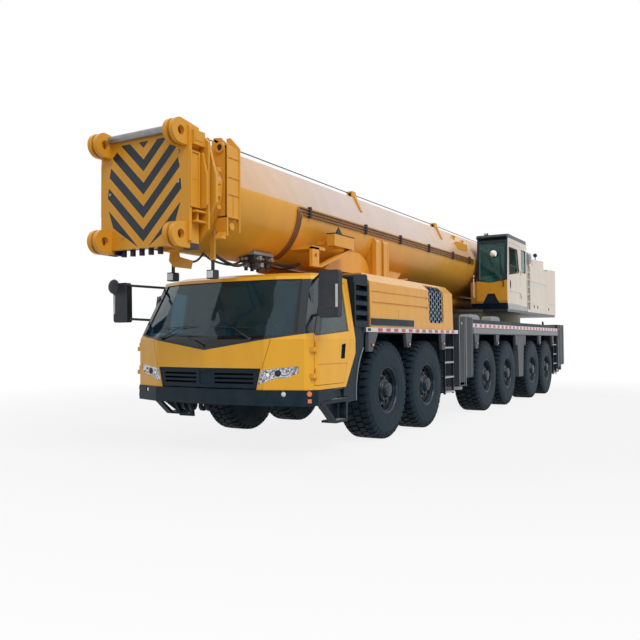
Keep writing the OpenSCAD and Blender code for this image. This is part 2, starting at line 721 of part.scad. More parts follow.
// Operator's cab: a hollow box with an upright front
op_floor = plate_z + 60 + seat;
op_sill = op_roof - 1060;
op_low = op_floor + 130;
op_wall = 45;
function op_side(t) = [[op_rear + t, op_floor + t], [op_front - 70 - t, op_floor + t],
  [op_front - t, op_floor + 200],
  [op_front - t, op_sill], [op_front - 60 - t, op_roof - 160], [op_front - 90 - t, op_roof - t],
    [op_rear + 60 + t, op_roof - t],
  [op_rear + t, op_roof - 120]];
module op_shape(t) side_plate(op_side(t), op_in + t, half_w - t);
module op_screen(g) cross_plate([[op_in + 70 + g, op_sill + g], [(op_in + half_w) / 2, op_sill - 75 + g],
  [half_w - 70 - g, op_sill + g],
  [half_w - 70 - g, op_roof - 220 - g], [op_in + 70 + g, op_roof - 220 - g]], op_front - 300, op_front + 50);
// Quarter window of the door, and the fixed window behind it
op_door_back = op_front - 1190;
op_door_front = op_front - 110;
op_hinge_levels = [op_low + 160, op_sill + 190];
module op_door_window(g) side_plate([[op_door_front - 60 - g, op_sill + 120 + g],
  [op_door_front - 60 - g, op_roof - 300 - g],
  [op_door_back + 330 + g, op_roof - 300 - g], [op_door_back + 170 + g, op_sill + 260 + g],
    [op_door_back + 200 + g, op_sill + 220 + g]],
  half_w - 200, half_w + 20);
module op_side_window(g) side_plate([[op_door_back - 60 - g, op_sill + 250 + g],
  [op_door_back - 60 - g, op_roof - 260 - g],
  [op_rear + 110 + g, op_roof - 260 - g], [op_rear + 110 + g, op_sill + 290 + g],
    [op_rear + 160, op_sill + 250 + g]], half_w - 200, half_w + 20);
module op_far_window(g) side_plate([[op_front - 200 - g, op_sill + 100 + g],
  [op_front - 200 - g, op_roof - 260 - g],
  [op_rear + 110 + g, op_roof - 260 - g], [op_rear + 110 + g, op_sill + 250 + g]], op_in - 20, op_in + 200);
module op_door_prism(g) side_plate([[op_door_back - g, op_low - g], [op_door_front + g, op_low - g],
  [op_door_front + g, op_roof - 200 + g],
  [op_door_back + 60 - g, op_roof - 200 + g], [op_door_back - g, op_roof - 300]], half_w - 200, half_w + 30);

// Outside hinges at the rear edge of the operator's door
op_hinge_x = op_door_back - 3;
op_hinge_y = half_w + 14;
module op_knuckle(z, on_cab) {
  translate([op_hinge_x, op_hinge_y, z]) cylinder(h = 60, r = 14);
  if (on_cab) block(op_door_back - 50, op_door_back - door_gap, half_w - 20, op_hinge_y + 5, z, z + 60);
  else block(op_door_back, op_door_back + 50, half_w - 20, op_hinge_y + 5, z, z + 60);
}

module operator_cab() placed() color(cream) {
  for (z = op_hinge_levels) op_knuckle(z, true);
  difference() {
    op_shape(0);
    op_shape(op_wall);
    op_screen(0);
    op_side_window(0);
    op_far_window(0);
    op_door_prism(door_gap);
    // Stepped panel below the windscreen with its opening for the feet
    cross_plate([[op_in + 130, op_floor + 140], [half_w - 200, op_floor + 140],
      [half_w - 300, op_floor + 360], [op_in + 260, op_floor + 360]],
      op_front - 22, op_front + 10);
  }
  // Roof rim that stands out over the windscreen
  side_plate([[op_front - 240, op_roof - 15], [op_front - 30, op_roof - 60],
    [op_front - 10, op_roof - 100], [op_front + 5, op_roof - 60],
    [op_front - 40, op_roof - 10], [op_front - 240, op_roof + 12]], op_in, half_w);
  both_sides_of_cab() block(op_rear + 150, op_front - 240, -14, 14, op_roof - 5, op_roof + 22);
  // Seat inside
  x = op_rear + 420;
  block(x, x + 440, op_in + 150, half_w - 200, op_floor + op_wall - 5, op_sill - 180);
  side_plate([[x - 40, op_sill - 185], [x + 60, op_sill - 185], [x - 10, op_sill + 450],
    [x - 100, op_sill + 450]], op_in + 160, half_w - 210);
}
module both_sides_of_cab() for (y = [op_in + 60, half_w - 60]) translate([0, y, 0]) children();

module operator_glass() placed() color(glass_tint) {
  intersection() {
    difference() {
      op_shape(10);
      op_shape(18);
    }
    union() {
      op_screen(seat);
      op_side_window(seat);
      op_far_window(seat);
    }
  }
}

module operator_door() placed() color(cream) {
  difference() {
    intersection() {
      difference() {
        op_shape(0);
        op_shape(op_wall);
      }
      op_door_prism(0);
    }
    op_door_window(0);
    // Oval grip recess and the crease across the leaf
    translate([op_door_front - 160, half_w, op_sill - 110]) rotate([90,
      0, 0]) translate([0, 0, -10]) linear_extrude(40) scale([0.45, 1]) circle(r = 110);
    block(op_door_back - 10, op_door_front + 10, half_w - 8, half_w + 10, op_sill - 280, op_sill - 268);
  }
  for (z = op_hinge_levels) op_knuckle(z + 60 + seat, false);
}

// Machinery housings, with the ladder in the left one's front corner
house_in = cheek_y + cheek_t + 20;
house_out = half_w - 50;
house_front = op_rear - 265;
house_step = house_front - 2180;
ladder_l = 290;
module panel_joint(x0, x1, z0, z1) block(x0, x1, house_out - 8, house_out + 5, z0, z1);
module machinery_housing() placed() color(cream) {
  low = plate_z + 60 + seat;
  both_sides() {
    difference() {
      side_plate([[house_x, low], [house_front, low], [house_front, house_top], [house_step, house_top],
        [house_step, house_top + 60],
        [house_x + 60, house_top + 110], [house_x, house_top + 80]], house_in, house_out);
      // Recess for the ladder
      block(house_front - ladder_l, house_front + 10, house_out - 210,
        house_out + 10, low + 60, house_top + 10);
      // Joints between the panels
      panel_joint(house_step, house_front - ladder_l - 30, house_top - 410, house_top - 398);
      panel_joint(house_step - 6, house_step + 6, house_top - 700, house_top + 10);
      side_plate([[house_step - 6, house_top - 695], [house_step + 6, house_top - 695],
        [house_step - 134, low + 290], [house_step - 146, low + 290]],
        house_out - 8, house_out + 5);
      panel_joint(house_x, house_step - 140, low + 285, low + 297);
    }
    // Ladder: one stile and five rungs
    block(house_front - 40, house_front, house_out - 60, house_out, low, house_top);
    for (i = [1:5]) block(house_front - ladder_l - 5, house_front - 20,
      house_out - 60, house_out - 20, low + 60 + i * 190, low + 85 + i * 190);
    // Raised parts on the roof: the fan's box, a tank and the cooler
    block(house_front - 330, house_front - 30, house_in + 60, house_out - 30, house_top - 1, house_top + 300);
    block(house_front - 720, house_front - 345, house_in + 60,
      house_out - 60, house_top - 1, house_top + 360);
    side_plate([[house_step + 130, house_top - 1], [house_front - 780, house_top - 1],
      [house_front - 790, house_top + 220], [house_step + 160, house_top + 280]],
      house_in + 30, house_out - 60);
  }
}

module winch() placed() color(steel_grey) {
  x = pivot_x - 750;
  z = pivot_z - 560;
  y_round(x, z, -cheek_y + seat, cheek_y - seat, 120);
  y_round(x, z, -480, 480, 250);
  for (y = [-500, 460]) y_round(x, z, y, y + 40, 310);
}

// Boom section: flat top with sloping shoulders over a round belly
shoulder = 0.66;
module boom_outline(hw, rise) {
  intersection() {
    union() {
      translate([0, boom_z]) circle(r = hw, $fn = 96);
      polygon([[-hw, boom_z], [hw, boom_z], [hw, boom_z + rise * 0.5], [hw * shoulder, boom_z + rise],
        [hw * 0.4, boom_z + rise * 1.2], [-hw * 0.4, boom_z + rise * 1.2], [-hw * shoulder, boom_z + rise],
        [-hw, boom_z + rise * 0.5]]);
    }
    translate([-hw - 10, boom_z - hw - 10]) square([2 * hw + 20, hw + 10 + rise]);
  }
}
module boom_run(hw, rise, x0, x1) {
  translate([x0, 0, 0]) rotate([90, 0, 90]) linear_extrude(x1 - x0) boom_outline(hw, rise);
}
boom_front = boom_reach - 720;
step_in = boom_wall + boom_gap;
function sec_hw(n) = boom_hw - n * step_in;
function sec_rise(n) = boom_rise - n * step_in;
module boom_tube(n, x0, x1) {
  difference() {
    boom_run(sec_hw(n), sec_rise(n), x0, x1);
    boom_run(sec_hw(n) - boom_wall, sec_rise(n) - boom_wall, x0 - 1, x1 + 1);
  }
}
tail_x = pivot_x + 1300;
// Wear pads inside the front end of section n, below and beside the next one
module wear_pads(n, x_end) {
  intersection() {
    difference() {
      boom_run(sec_hw(n) - boom_wall + 2, sec_rise(n) - boom_wall + 2, x_end - 260, x_end - 40);
      boom_run(sec_hw(n + 1) + seat, sec_rise(n + 1) + seat, x_end - 261, x_end - 39);
    }
    union() {
      block(x_end - 260, x_end - 40, -260, 260, boom_z - boom_hw, boom_z);
      block(x_end - 260, x_end - 40, -boom_hw, boom_hw, boom_z, boom_z + 160);
    }
  }
}

// Half of the collar's ribs, lugs and pads are on each side
collar_l = 280;
collar_x = boom_front - collar_l;
module collar() {
  for (x = [collar_x, boom_front - 25]) boom_run(boom_hw + 80, boom_rise + 30, x, x + 25);
  boom_run(boom_hw + 30, boom_rise + 10, collar_x, boom_front);
  both_sides() {
    for (z = [boom_z - 355, boom_z - 100, boom_z + 115, boom_z + 340])
      block(collar_x, boom_front, boom_hw - 60, boom_hw + 70, z - 10, z + 10);
    // Lug in the cut-out below the ribs, and the one on top of the collar
    y_round(collar_x + 140, boom_z - 480, boom_hw - 140, boom_hw + 10, 45);
    side_plate([[collar_x + 130, boom_z + boom_rise], [boom_front - 5, boom_z + boom_rise],
      [boom_front - 60, boom_z + boom_rise + 85], [boom_front - 100, boom_z + boom_rise + 85]],
      boom_hw * 0.5, boom_hw * 0.5 + 30);
    y_round(boom_front - 45, boom_z + 460, boom_hw - 160, boom_hw + 90, 52);
  }
}

// Stiffening pads over the boom's side where the lift cylinder pushes
pad_x = [lift_eye_x + 1980, lift_eye_x + 1670];
module side_pads() for (x = pad_x) intersection() {
  boom_run(boom_hw + 26, boom_rise, x - 70, x + 70);
  block(x - 70, x + 70, -boom_hw - 30, boom_hw + 30, boom_z - boom_hw + 60, boom_z - 110);
}

// Box below the belly that takes the lift cylinder's rod
box_y = 470;
box_front = lift_eye_x + 2580;
module lift_box() {
  belly = boom_z - boom_hw;
  both_sides() side_plate([[lift_eye_x - 700, belly + 60], [lift_eye_x - 180, lift_z - 120],
    [lift_eye_x + 130, lift_z - 120],
    [lift_eye_x + 225, hood_top + 60], [lift_eye_x + 1500, hood_top + 80],
      [lift_eye_x + 1900, belly + 60]], 150, 210);
  // Outer sides and the sloping front plate between them
  both_sides() side_plate([[box_front, belly + 250], [box_front, belly + 190],
    [box_front - 730, belly + 10], [lift_eye_x + 700, hood_top + 60],
    [lift_eye_x + 300, belly + 250]], box_y - 30, box_y);
  side_plate([[box_front, belly + 190], [box_front - 730, belly + 10], [box_front - 710, belly - 15],
    [box_front + 25, belly + 170]], -box_y, box_y);
}

// Stowage bracket on the left side, with its box, posts and sloping strut
rack_y = boom_hw + 170;
rack_x = 150;
rack_top = boom_z - 300;
module stowage_rack() {
  x1 = rack_x + 770;
  difference() {
    block(rack_x, x1, boom_hw - 40, rack_y + 60, rack_top - 150, rack_top);
    block(rack_x + 30, x1 - 30, boom_hw + 60, rack_y + 40, rack_top - 120, rack_top + 10);
    y_round(rack_x + 400, rack_top - 150, rack_y, rack_y + 70, 50);
  }
  block(rack_x + 40, x1 - 80, boom_hw - 100, rack_y + 20, rack_top - 210, rack_top - 149);
  difference() {
    block(x1 + 110, x1 + 300, rack_y - 40, rack_y + 10, 2530, rack_top - 210);
    y_round(x1 + 205, rack_top - 330, rack_y - 50, rack_y + 20, 32);
  }
  block(x1 - 60, x1 + 300, boom_hw - 300, rack_y + 10, rack_top - 240, rack_top - 195);
  side_plate([[rack_x - 60, rack_top - 130], [rack_x - 90, rack_top - 180], [x1 + 60, 2530],
    [x1 + 160, 2530]], rack_y - 60, rack_y + 20);
}

module boom_base() placed() color(amber) {
  difference() {
    union() {
      boom_run(boom_hw, boom_rise, tail_x, boom_front);
      collar();
      side_pads();
      lift_box();
      stowage_rack();
      // Lamp bar below the collar
      block(boom_front - 110, boom_front - 60, -180, 680, boom_z - boom_hw - 130, boom_z - boom_hw - 90);
      for (y = [-60, 420]) block(boom_front - 105, boom_front - 65,
        y, y + 40, boom_z - boom_hw - 100, boom_z - 300);
      // Rope guides on the top and a hose bracket on the left side
      for (x = [-880, -4690]) difference() {
        block(x - 60, x + 60, boom_hw * 0.5, boom_hw * 0.5 + 110,
          boom_z + boom_rise - 10, boom_z + boom_rise + 110);
        block(x - 70, x + 70, boom_hw * 0.5 + 30, boom_hw * 0.5 + 80,
          boom_z + boom_rise + 20, boom_z + boom_rise + 85);
      }
      block(-4480, -4080, boom_hw - 30, boom_hw + 70, boom_z + 130, boom_z + 290);
    }
    boom_run(boom_hw - boom_wall, boom_rise - boom_wall, tail_x - 1, boom_front + 1);
  }
  wear_pads(0, boom_front);
  // Tail with the pivot
  difference() {
    intersection() {
      boom_run(boom_hw, boom_rise, pivot_x - 520, tail_x + 20);
      union() {
        side_plate([[pivot_x, pivot_z - 500], [tail_x + 20, boom_z - boom_hw - 10],
          [tail_x + 20, boom_z + boom_rise + 10],
          [pivot_x, pivot_z + 480]], -boom_hw, boom_hw);
        y_round(pivot_x, pivot_z, -boom_hw, boom_hw, 490);
      }
    }
    boom_run(boom_hw - boom_wall - 60, boom_rise - boom_wall - 60, tail_x - 600, tail_x + 30);
  }
  y_round(pivot_x, pivot_z, -cheek_y - cheek_t - 20, cheek_y + cheek_t + 20, 110);
}

// Feed pipes along the left side with their clips, which turn down round the belly
pipe_r = 14;
pipe_y = boom_hw + pipe_r + seat;
pipe_step = 44;
pipe_front = 1240;
module feed_pipe(i) {
  z = boom_z - 40 + pipe_step * i;
  x = pipe_front + pipe_step * i;
  bar([slew_x + 1200, pipe_y, z], [x + pipe_r, pipe_y, z], pipe_r);
  bar([x, pipe_y, boom_z - 60], [x, pipe_y, z + pipe_r], pipe_r);
  intersection() {
    translate([x, 0, boom_z]) rotate([0, 90, 0]) rotate_extrude($fn = 96) translate([pipe_y,
      0]) circle(r = pipe_r, $fn = 24);
    block(x - 50, x + 50, 300, 900, boom_z - 700, boom_z - 50);
  }
}
module work_lamp(y) {
  top = boom_z - boom_hw - 130 - seat;
  block(boom_front - 115, boom_front - 55, y - 20, y + 20, top - 60, top);
  block(boom_front - 130, boom_front - 20, y - 75, y + 75, top - 190, top - 55);
}
module boom_fittings() placed() color(charcoal) {
  for (i = [0:2]) feed_pipe(i);
  for (x = [pipe_front - 220, -780, -2200, -3600, -5000, -6100])
    block(x - 25, x + 25, boom_hw + seat, boom_hw + 46, boom_z - 70, boom_z + 90);
  for (y = [-80, 560]) work_lamp(y);
  // Valve block below the belly
  difference() {
    block(1500, 1950, 120, 430, 2540, boom_z - 500);
    boom_run(boom_hw + seat, boom_rise, 1400, 2000);
  }
}

module boom_section_2() placed() color(amber) {
  boom_tube(1, tail_x + 200, boom_front + 20);
  wear_pads(1, boom_front + 20);
  difference() {
    boom_run(boom_hw + 50, boom_rise + 10, boom_front + 10, boom_front + 70);
    boom_run(sec_hw(1) - boom_wall, sec_rise(1) - boom_wall, boom_front, boom_front + 90);
  }
}

module boom_section_3() placed() color(amber) {
  boom_tube(2, tail_x + 400, boom_front + 100);
  wear_pads(2, boom_front + 100);
  difference() {
    cross_plate([[-520, boom_z - boom_hw + 20], [520, boom_z - boom_hw + 20],
      [boom_hw + 130, boom_z - 230], [boom_hw + 130, boom_z + 90],
      [boom_hw + 30, boom_z + 430], [boom_hw - 160, boom_z + boom_rise + 20],
        [-boom_hw + 160, boom_z + boom_rise + 20], [-boom_hw - 30, boom_z + 430],
      [-boom_hw - 130, boom_z + 90], [-boom_hw - 130, boom_z - 230]], boom_front + 90, boom_front + 130);
    boom_run(sec_hw(2) - boom_wall, sec_rise(2) - boom_wall, boom_front + 80, boom_front + 160);
  }
}

// Head: end flange, sheave box, chevron plate and four pairs of lugs
lug_r = 147;
lug_bore = 55;
lug_t = 66;
lug_x = boom_reach - lug_r;
lug_top = boom_z + 540;
lug_low = boom_z - 634;
head_hw = 640;
head_front = boom_reach - 250;
module head_lug(y, z, back, rise) {
  difference() {
    union() {
      y_round(lug_x, z, y, y + lug_t, lug_r);
      side_plate([[lug_x, z - lug_r], [lug_x, z + lug_r], [back, z + rise], [back, z - lug_r]], y, y + lug_t);
    }
    y_round(lug_x, z, y - 5, y + lug_t + 5, lug_bore);
  }
}
module boom_head() placed() color(amber) {
  boom_tube(3, tail_x + 600, boom_front + 170);
  cross_plate(cut_box(boom_hw + 70, boom_z - 700, boom_z + 620, 150), boom_front + 160, boom_front + 190);
  cross_plate([[-head_hw, boom_z - 540], [-head_hw + 160, boom_z - 700], [head_hw - 160, boom_z - 700],
    [head_hw, boom_z - 540], [head_hw, boom_z + 500],
    [head_hw - 130, boom_z + 600], [-head_hw + 130, boom_z + 600], [-head_hw, boom_z + 500]],
      boom_front + 185, head_front - 40);
  // Chevron plate across the front
  cross_plate(cut_box(boom_hw - 15, boom_z - 735, boom_z + 650, 40), head_front - 50, head_front);
  both_sides() {
    // Side box with its sunk panel, the bevelled rib behind it, and the block above
    difference() {
      block(head_front - 175, head_front - 10, head_hw - 5, boom_hw, boom_z - 310, boom_z + 340);
      block(head_front - 150, head_front - 35, boom_hw - 10, boom_hw + 5, boom_z - 290, boom_z + 320);
    }
    cross_plate([[head_hw - 5, boom_z - 310], [boom_hw + 50, boom_z - 310], [boom_hw + 80, boom_z - 270],
      [boom_hw + 80, boom_z + 80],
      [boom_hw + 20, boom_z + 340], [head_hw - 5, boom_z + 340]], head_front - 225, head_front - 190);
    block(boom_front + 185, head_front - 45, head_hw - 150, boom_hw + 20, boom_z + 410, boom_z + 580);
    // Shelves below the side box with an upright between them
    for (z = [boom_z - 355, boom_z - 470]) block(boom_front + 185,
      head_front - 60, head_hw - 60, boom_hw + 40, z - 12, z + 12);
    block(head_front - 150, head_front - 120, head_hw - 60, boom_hw, boom_z - 470, boom_z - 355);
    for (y = [520, 653]) {
      head_lug(y, lug_top, boom_front + 260, 100);
      head_lug(y, lug_low, boom_front + 260, 160);
    }
  }
  // Cross tube between the upper lugs
  y_round(lug_x - 75, lug_top + 72, -522, 522, 45);
  // Row of couplings below the head
  for (i = [0:5]) translate([boom_front + 300, -480 + i * 150, boom_z - 800]) cylinder(h = 110, r = 38);
  block(boom_front + 250, boom_front + 350, -540, 330, boom_z - 720, boom_z - 690);
}

module lift_barrel() placed() color(amber) {
  difference() {
    union() {
      bar([lift_foot_x + 100, 0, lift_z], [lift_eye_x - 450, 0, lift_z], lift_r);
      y_round(lift_foot_x, lift_z, -140, 140, 120);
    }
    y_round(lift_foot_x, lift_z, -145, 145, 60 + run_fit);
    bar([lift_foot_x + 500, 0, lift_z], [lift_eye_x - 440, 0, lift_z], 100 + run_fit);
  }
}

module lift_rod() placed() color("silver") {
  bar([lift_foot_x + 1400, 0, lift_z], [lift_eye_x - 50, 0, lift_z], 100);
  y_round(lift_eye_x, lift_z, -140, 140, 130);
}

chassis_frame();
outrigger_boxes();
deck();
axles();
cab_shell();
cab_glass();
cab_interior();
front_bumper();
headlamps();
mirrors();
grilles();
engine_hood();
engine_block();
ladders();
slewing_ring();
cab_door_left();
cab_door_right();
door_glass_left();
door_glass_right();
beam(front_leg_x, true);  // beam_front_left
beam(front_leg_x, false);  // beam_front_right
beam(rear_leg_x, true);  // beam_rear_left
beam(rear_leg_x, false);  // beam_rear_right
jack(front_leg_x, true);  // jack_front_left
jack(front_leg_x, false);  // jack_front_right
jack(rear_leg_x, true);  // jack_rear_left
jack(rear_leg_x, false);  // jack_rear_right
wheel(0, 1);  // wheel_1_left
wheel(0, -1);  // wheel_1_right
wheel(1, 1);  // wheel_2_left
wheel(1, -1);  // wheel_2_right
wheel(2, 1);  // wheel_3_left
wheel(2, -1);  // wheel_3_right
wheel(3, 1);  // wheel_4_left
wheel(3, -1);  // wheel_4_right
wheel(4, 1);  // wheel_5_left
wheel(4, -1);  // wheel_5_right
wheel(5, 1);  // wheel_6_left
wheel(5, -1);  // wheel_6_right
knuckle(0, 1);  // knuckle_1_left
knuckle(0, -1);  // knuckle_1_right
knuckle(1, 1);  // knuckle_2_left
knuckle(1, -1);  // knuckle_2_right
knuckle(4, 1);  // knuckle_5_left
knuckle(4, -1);  // knuckle_5_right
knuckle(5, 1);  // knuckle_6_left
knuckle(5, -1);  // knuckle_6_right
turntable();
operator_cab();
operator_glass();
operator_door();
machinery_housing();
winch();
boom_base();
boom_fittings();
boom_section_2();
boom_section_3();
boom_head();
lift_barrel();
lift_rod();
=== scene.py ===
# %% [markdown]
# # A six-axle mobile crane, dressed for its picture
# The crane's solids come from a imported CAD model: frame, cabs, boom, wheels and legs,
# each on the body that moves it. This notebook gives every surface its finish, adds the
# pieces that are too fine for the CAD model, and lights the whole in a pale studio.
# Lengths are metres. Along the crane they are measured from the first axle, forward
# positive, because that is how the parts were measured.

# %% Load the fixed frame
import math

import bmesh
import bpy
from mathutils import Matrix, Vector


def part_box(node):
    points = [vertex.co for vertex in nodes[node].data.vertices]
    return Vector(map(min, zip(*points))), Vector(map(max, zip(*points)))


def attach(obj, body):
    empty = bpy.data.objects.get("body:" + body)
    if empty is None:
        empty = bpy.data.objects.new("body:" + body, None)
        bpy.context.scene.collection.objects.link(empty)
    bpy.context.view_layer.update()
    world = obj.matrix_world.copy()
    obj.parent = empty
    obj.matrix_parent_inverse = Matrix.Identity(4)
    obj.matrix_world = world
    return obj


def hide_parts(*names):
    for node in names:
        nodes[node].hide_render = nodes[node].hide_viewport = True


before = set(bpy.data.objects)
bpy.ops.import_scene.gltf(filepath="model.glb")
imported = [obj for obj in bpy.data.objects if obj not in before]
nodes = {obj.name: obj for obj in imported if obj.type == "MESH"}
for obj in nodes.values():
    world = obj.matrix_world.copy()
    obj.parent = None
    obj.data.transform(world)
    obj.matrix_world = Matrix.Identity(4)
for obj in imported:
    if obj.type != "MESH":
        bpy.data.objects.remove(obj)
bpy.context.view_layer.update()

# %% [markdown]
# The model's origin lies below the middle of its length, while the parts were measured
# from the first axle. One helper turns the second kind of place into the first, so that
# every number below can be checked against the axle spacing.

# %% Places measured from the first axle
wheel_low, wheel_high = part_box("wheel_1_left")
AXLE_X = (wheel_low.x + wheel_high.x) / 2
TYRE_R = (wheel_high.z - wheel_low.z) / 2
HALF_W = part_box("deck")[1].y
print("first axle at", round(AXLE_X, 3), "tyre radius", round(TYRE_R, 4), "half width", round(HALF_W, 3))


def at(x, y, z):
    """A place x metres ahead of the first axle, in the model's own frame."""
    return Vector((AXLE_X + x, y, z))


# %% [markdown]
# ## Camera
# The photograph was taken from the left front at eye level, close enough for strong
# perspective. The angles were solved from the wheel hubs and the boom's head.

# %% Stand the camera where the photograph was taken
CAMERA_AT = (9.792, 6.037, 1.466)
LENS_MM = 40.03
YAW, PITCH, ROLL = math.radians(30.35), math.radians(1.74), math.radians(-0.27)
ahead = Vector((-math.cos(PITCH) * math.cos(YAW), -math.cos(PITCH) * math.sin(YAW), math.sin(PITCH)))
level = ahead.cross(Vector((0, 0, 1))).normalized()
above = level.cross(ahead)
right = math.cos(ROLL) * level + math.sin(ROLL) * above
up = -math.sin(ROLL) * level + math.cos(ROLL) * above
camera_data = bpy.data.cameras.new("photo_camera")
camera_data.lens = LENS_MM
camera_data.sensor_width = 36
camera = bpy.data.objects.new("photo_camera", camera_data)
camera.matrix_world = Matrix.Translation(at(*CAMERA_AT)) @ Matrix((right, up, -ahead)).transposed().to_4x4()
bpy.context.scene.collection.objects.link(camera)
bpy.context.scene.camera = camera
bpy.context.scene.view_settings.view_transform = "Standard"
print("camera", [round(v, 2) for v in camera.location])

# %% [markdown]
# ## Light
# The real crane stands under a bright hazy sky: shadows are soft and the top of the
# boom mirrors the pale sky. A grey world lights the surfaces, and the same world is
# plain white for the camera and for reflections. One wide sun adds a soft direction.

# %% A pale world and a soft sun
SKY_LEVEL = 0.50
SUN_LEVEL = 1.70
SUN_FROM = Vector((0.30, 0.62, 0.72))

world = bpy.data.worlds.new("pale_sky")
bpy.context.scene.world = world
world.use_nodes = True
sky = world.node_tree
sky.nodes.clear()
rays = sky.nodes.new("ShaderNodeLightPath")
seen = sky.nodes.new("ShaderNodeMath")
seen.operation = "MAXIMUM"
seen_too = sky.nodes.new("ShaderNodeMath")
seen_too.operation = "MAXIMUM"
sky.links.new(rays.outputs["Is Camera Ray"], seen.inputs[0])
sky.links.new(rays.outputs["Is Glossy Ray"], seen.inputs[1])
sky.links.new(seen.outputs[0], seen_too.inputs[0])
sky.links.new(rays.outputs["Is Transmission Ray"], seen_too.inputs[1])
soft_grey = sky.nodes.new("ShaderNodeBackground")
soft_grey.inputs["Color"].default_value = (0.93, 0.97, 1.0, 1)
soft_grey.inputs["Strength"].default_value = SKY_LEVEL
plain_white = sky.nodes.new("ShaderNodeBackground")
plain_white.inputs["Color"].default_value = (1, 1, 1, 1)
plain_white.inputs["Strength"].default_value = 1.0
chosen = sky.nodes.new("ShaderNodeMixShader")
sky.links.new(seen_too.outputs[0], chosen.inputs[0])
sky.links.new(soft_grey.outputs[0], chosen.inputs[1])
sky.links.new(plain_white.outputs[0], chosen.inputs[2])
sky_out = sky.nodes.new("ShaderNodeOutputWorld")
sky.links.new(chosen.outputs[0], sky_out.inputs["Surface"])

sun_data = bpy.data.lights.new("soft_sun", "SUN")
sun_data.energy = SUN_LEVEL
sun_data.angle = math.radians(35)
sun_data.color = (1.0, 0.98, 0.95)
sun = bpy.data.objects.new("soft_sun", sun_data)
sun.rotation_mode = "QUATERNION"
sun.rotation_quaternion = SUN_FROM.to_track_quat("Z", "Y")
bpy.context.scene.collection.objects.link(sun)
print("sun from", tuple(round(v, 2) for v in SUN_FROM.normalized()))

# %% [markdown]
# ## Small helpers for node materials
# Each finish is a tree of nodes on the Principled shader. A few helpers keep the trees
# short: they make a node, do arithmetic, blend two colours, carry a range over to another,
# draw cloudy noise, and start a material and hand back what the others need.

# %% Node helpers


def add_node(tree, kind, **inputs):
    """A new node, with its inputs set by name (underscores stand for spaces)."""
    made = tree.nodes.new(kind)
    for name, value in inputs.items():
        feed(tree, made.inputs[name.replace("_", " ")], value)
    return made


def feed(tree, socket, value):
    """Links an output to a socket, or sets the socket to a plain value."""
    if isinstance(value, bpy.types.NodeSocket):
        tree.links.new(value, socket)
    else:
        socket.default_value = value


def calc(tree, operation, first, second=0.0, third=0.0):
    """Arithmetic on sockets or numbers."""
    made = tree.nodes.new("ShaderNodeMath")
    made.operation = operation
    for socket, value in zip(made.inputs, (first, second, third)):
        feed(tree, socket, value)
    return made.outputs[0]


def blend(tree, amount, first, second):
    """The first colour where amount is 0, the second where it is 1."""
    made = tree.nodes.new("ShaderNodeMix")
    made.data_type = "RGBA"
    feed(tree, made.inputs[0], amount)
    for socket, value in ((made.inputs[6], first), (made.inputs[7], second)):
        feed(tree, socket, value if isinstance(value, bpy.types.NodeSocket) else (*value, 1))
    return made.outputs[2]


def ramp(tree, value, low, high, out_low=0.0, out_high=1.0):
    """Carries low..high over to out_low..out_high, and holds the ends."""
    made = tree.nodes.new("ShaderNodeMapRange")
    for socket, number in zip(made.inputs, (value, low, high, out_low, out_high)):
        feed(tree, socket, number)
    return made.outputs[0]


def start_finish(name):
    """A new material: (material, tree, shader, place, (x, y, z)), with x measured as in at()."""
    made = bpy.data.materials.new(name)
    made.use_nodes = True
    tree = made.node_tree
    shader = tree.nodes["Principled BSDF"]
    place = tree.nodes.new("ShaderNodeTexCoord").outputs["Object"]
    apart = add_node(tree, "ShaderNodeSeparateXYZ", Vector=place)
    x = calc(tree, "SUBTRACT", apart.outputs[0], AXLE_X)
    return made, tree, shader, place, (x, apart.outputs[1], apart.outputs[2])


def speckle(tree, place, scale, detail=4.0, stretch=(1, 1, 1)):
    """Cloudy noise at a scale given per metre; stretch draws it out along an axis."""
    moved = tree.nodes.new("ShaderNodeMapping")
    feed(tree, moved.inputs["Vector"], place)
    moved.inputs["Scale"].default_value = stretch
    made = add_node(tree, "ShaderNodeTexNoise", Vector=moved.outputs[0], Scale=scale, Detail=detail)
    return made.outputs["Fac"]


# %% [markdown]
# ## Paint
# Crane paint is a glossy two-pack enamel on welded plate. It is never one flat colour:
# panels differ a little, rain draws faint streaks, road dust gathers low down, and the
# gloss varies with it. A clear coat lets faces that are seen at a low angle mirror the
# pale sky. Edges are rounded in the shader, as the plate's own edges are.

# %% The painted finish
DUST = (0.42, 0.38, 0.32)


def shader_normal(tree):
    """The three parts of the surface's own direction."""
    found = tree.nodes.new("ShaderNodeNewGeometry").outputs["True Normal"]
    return add_node(tree, "ShaderNodeSeparateXYZ", Vector=found).outputs


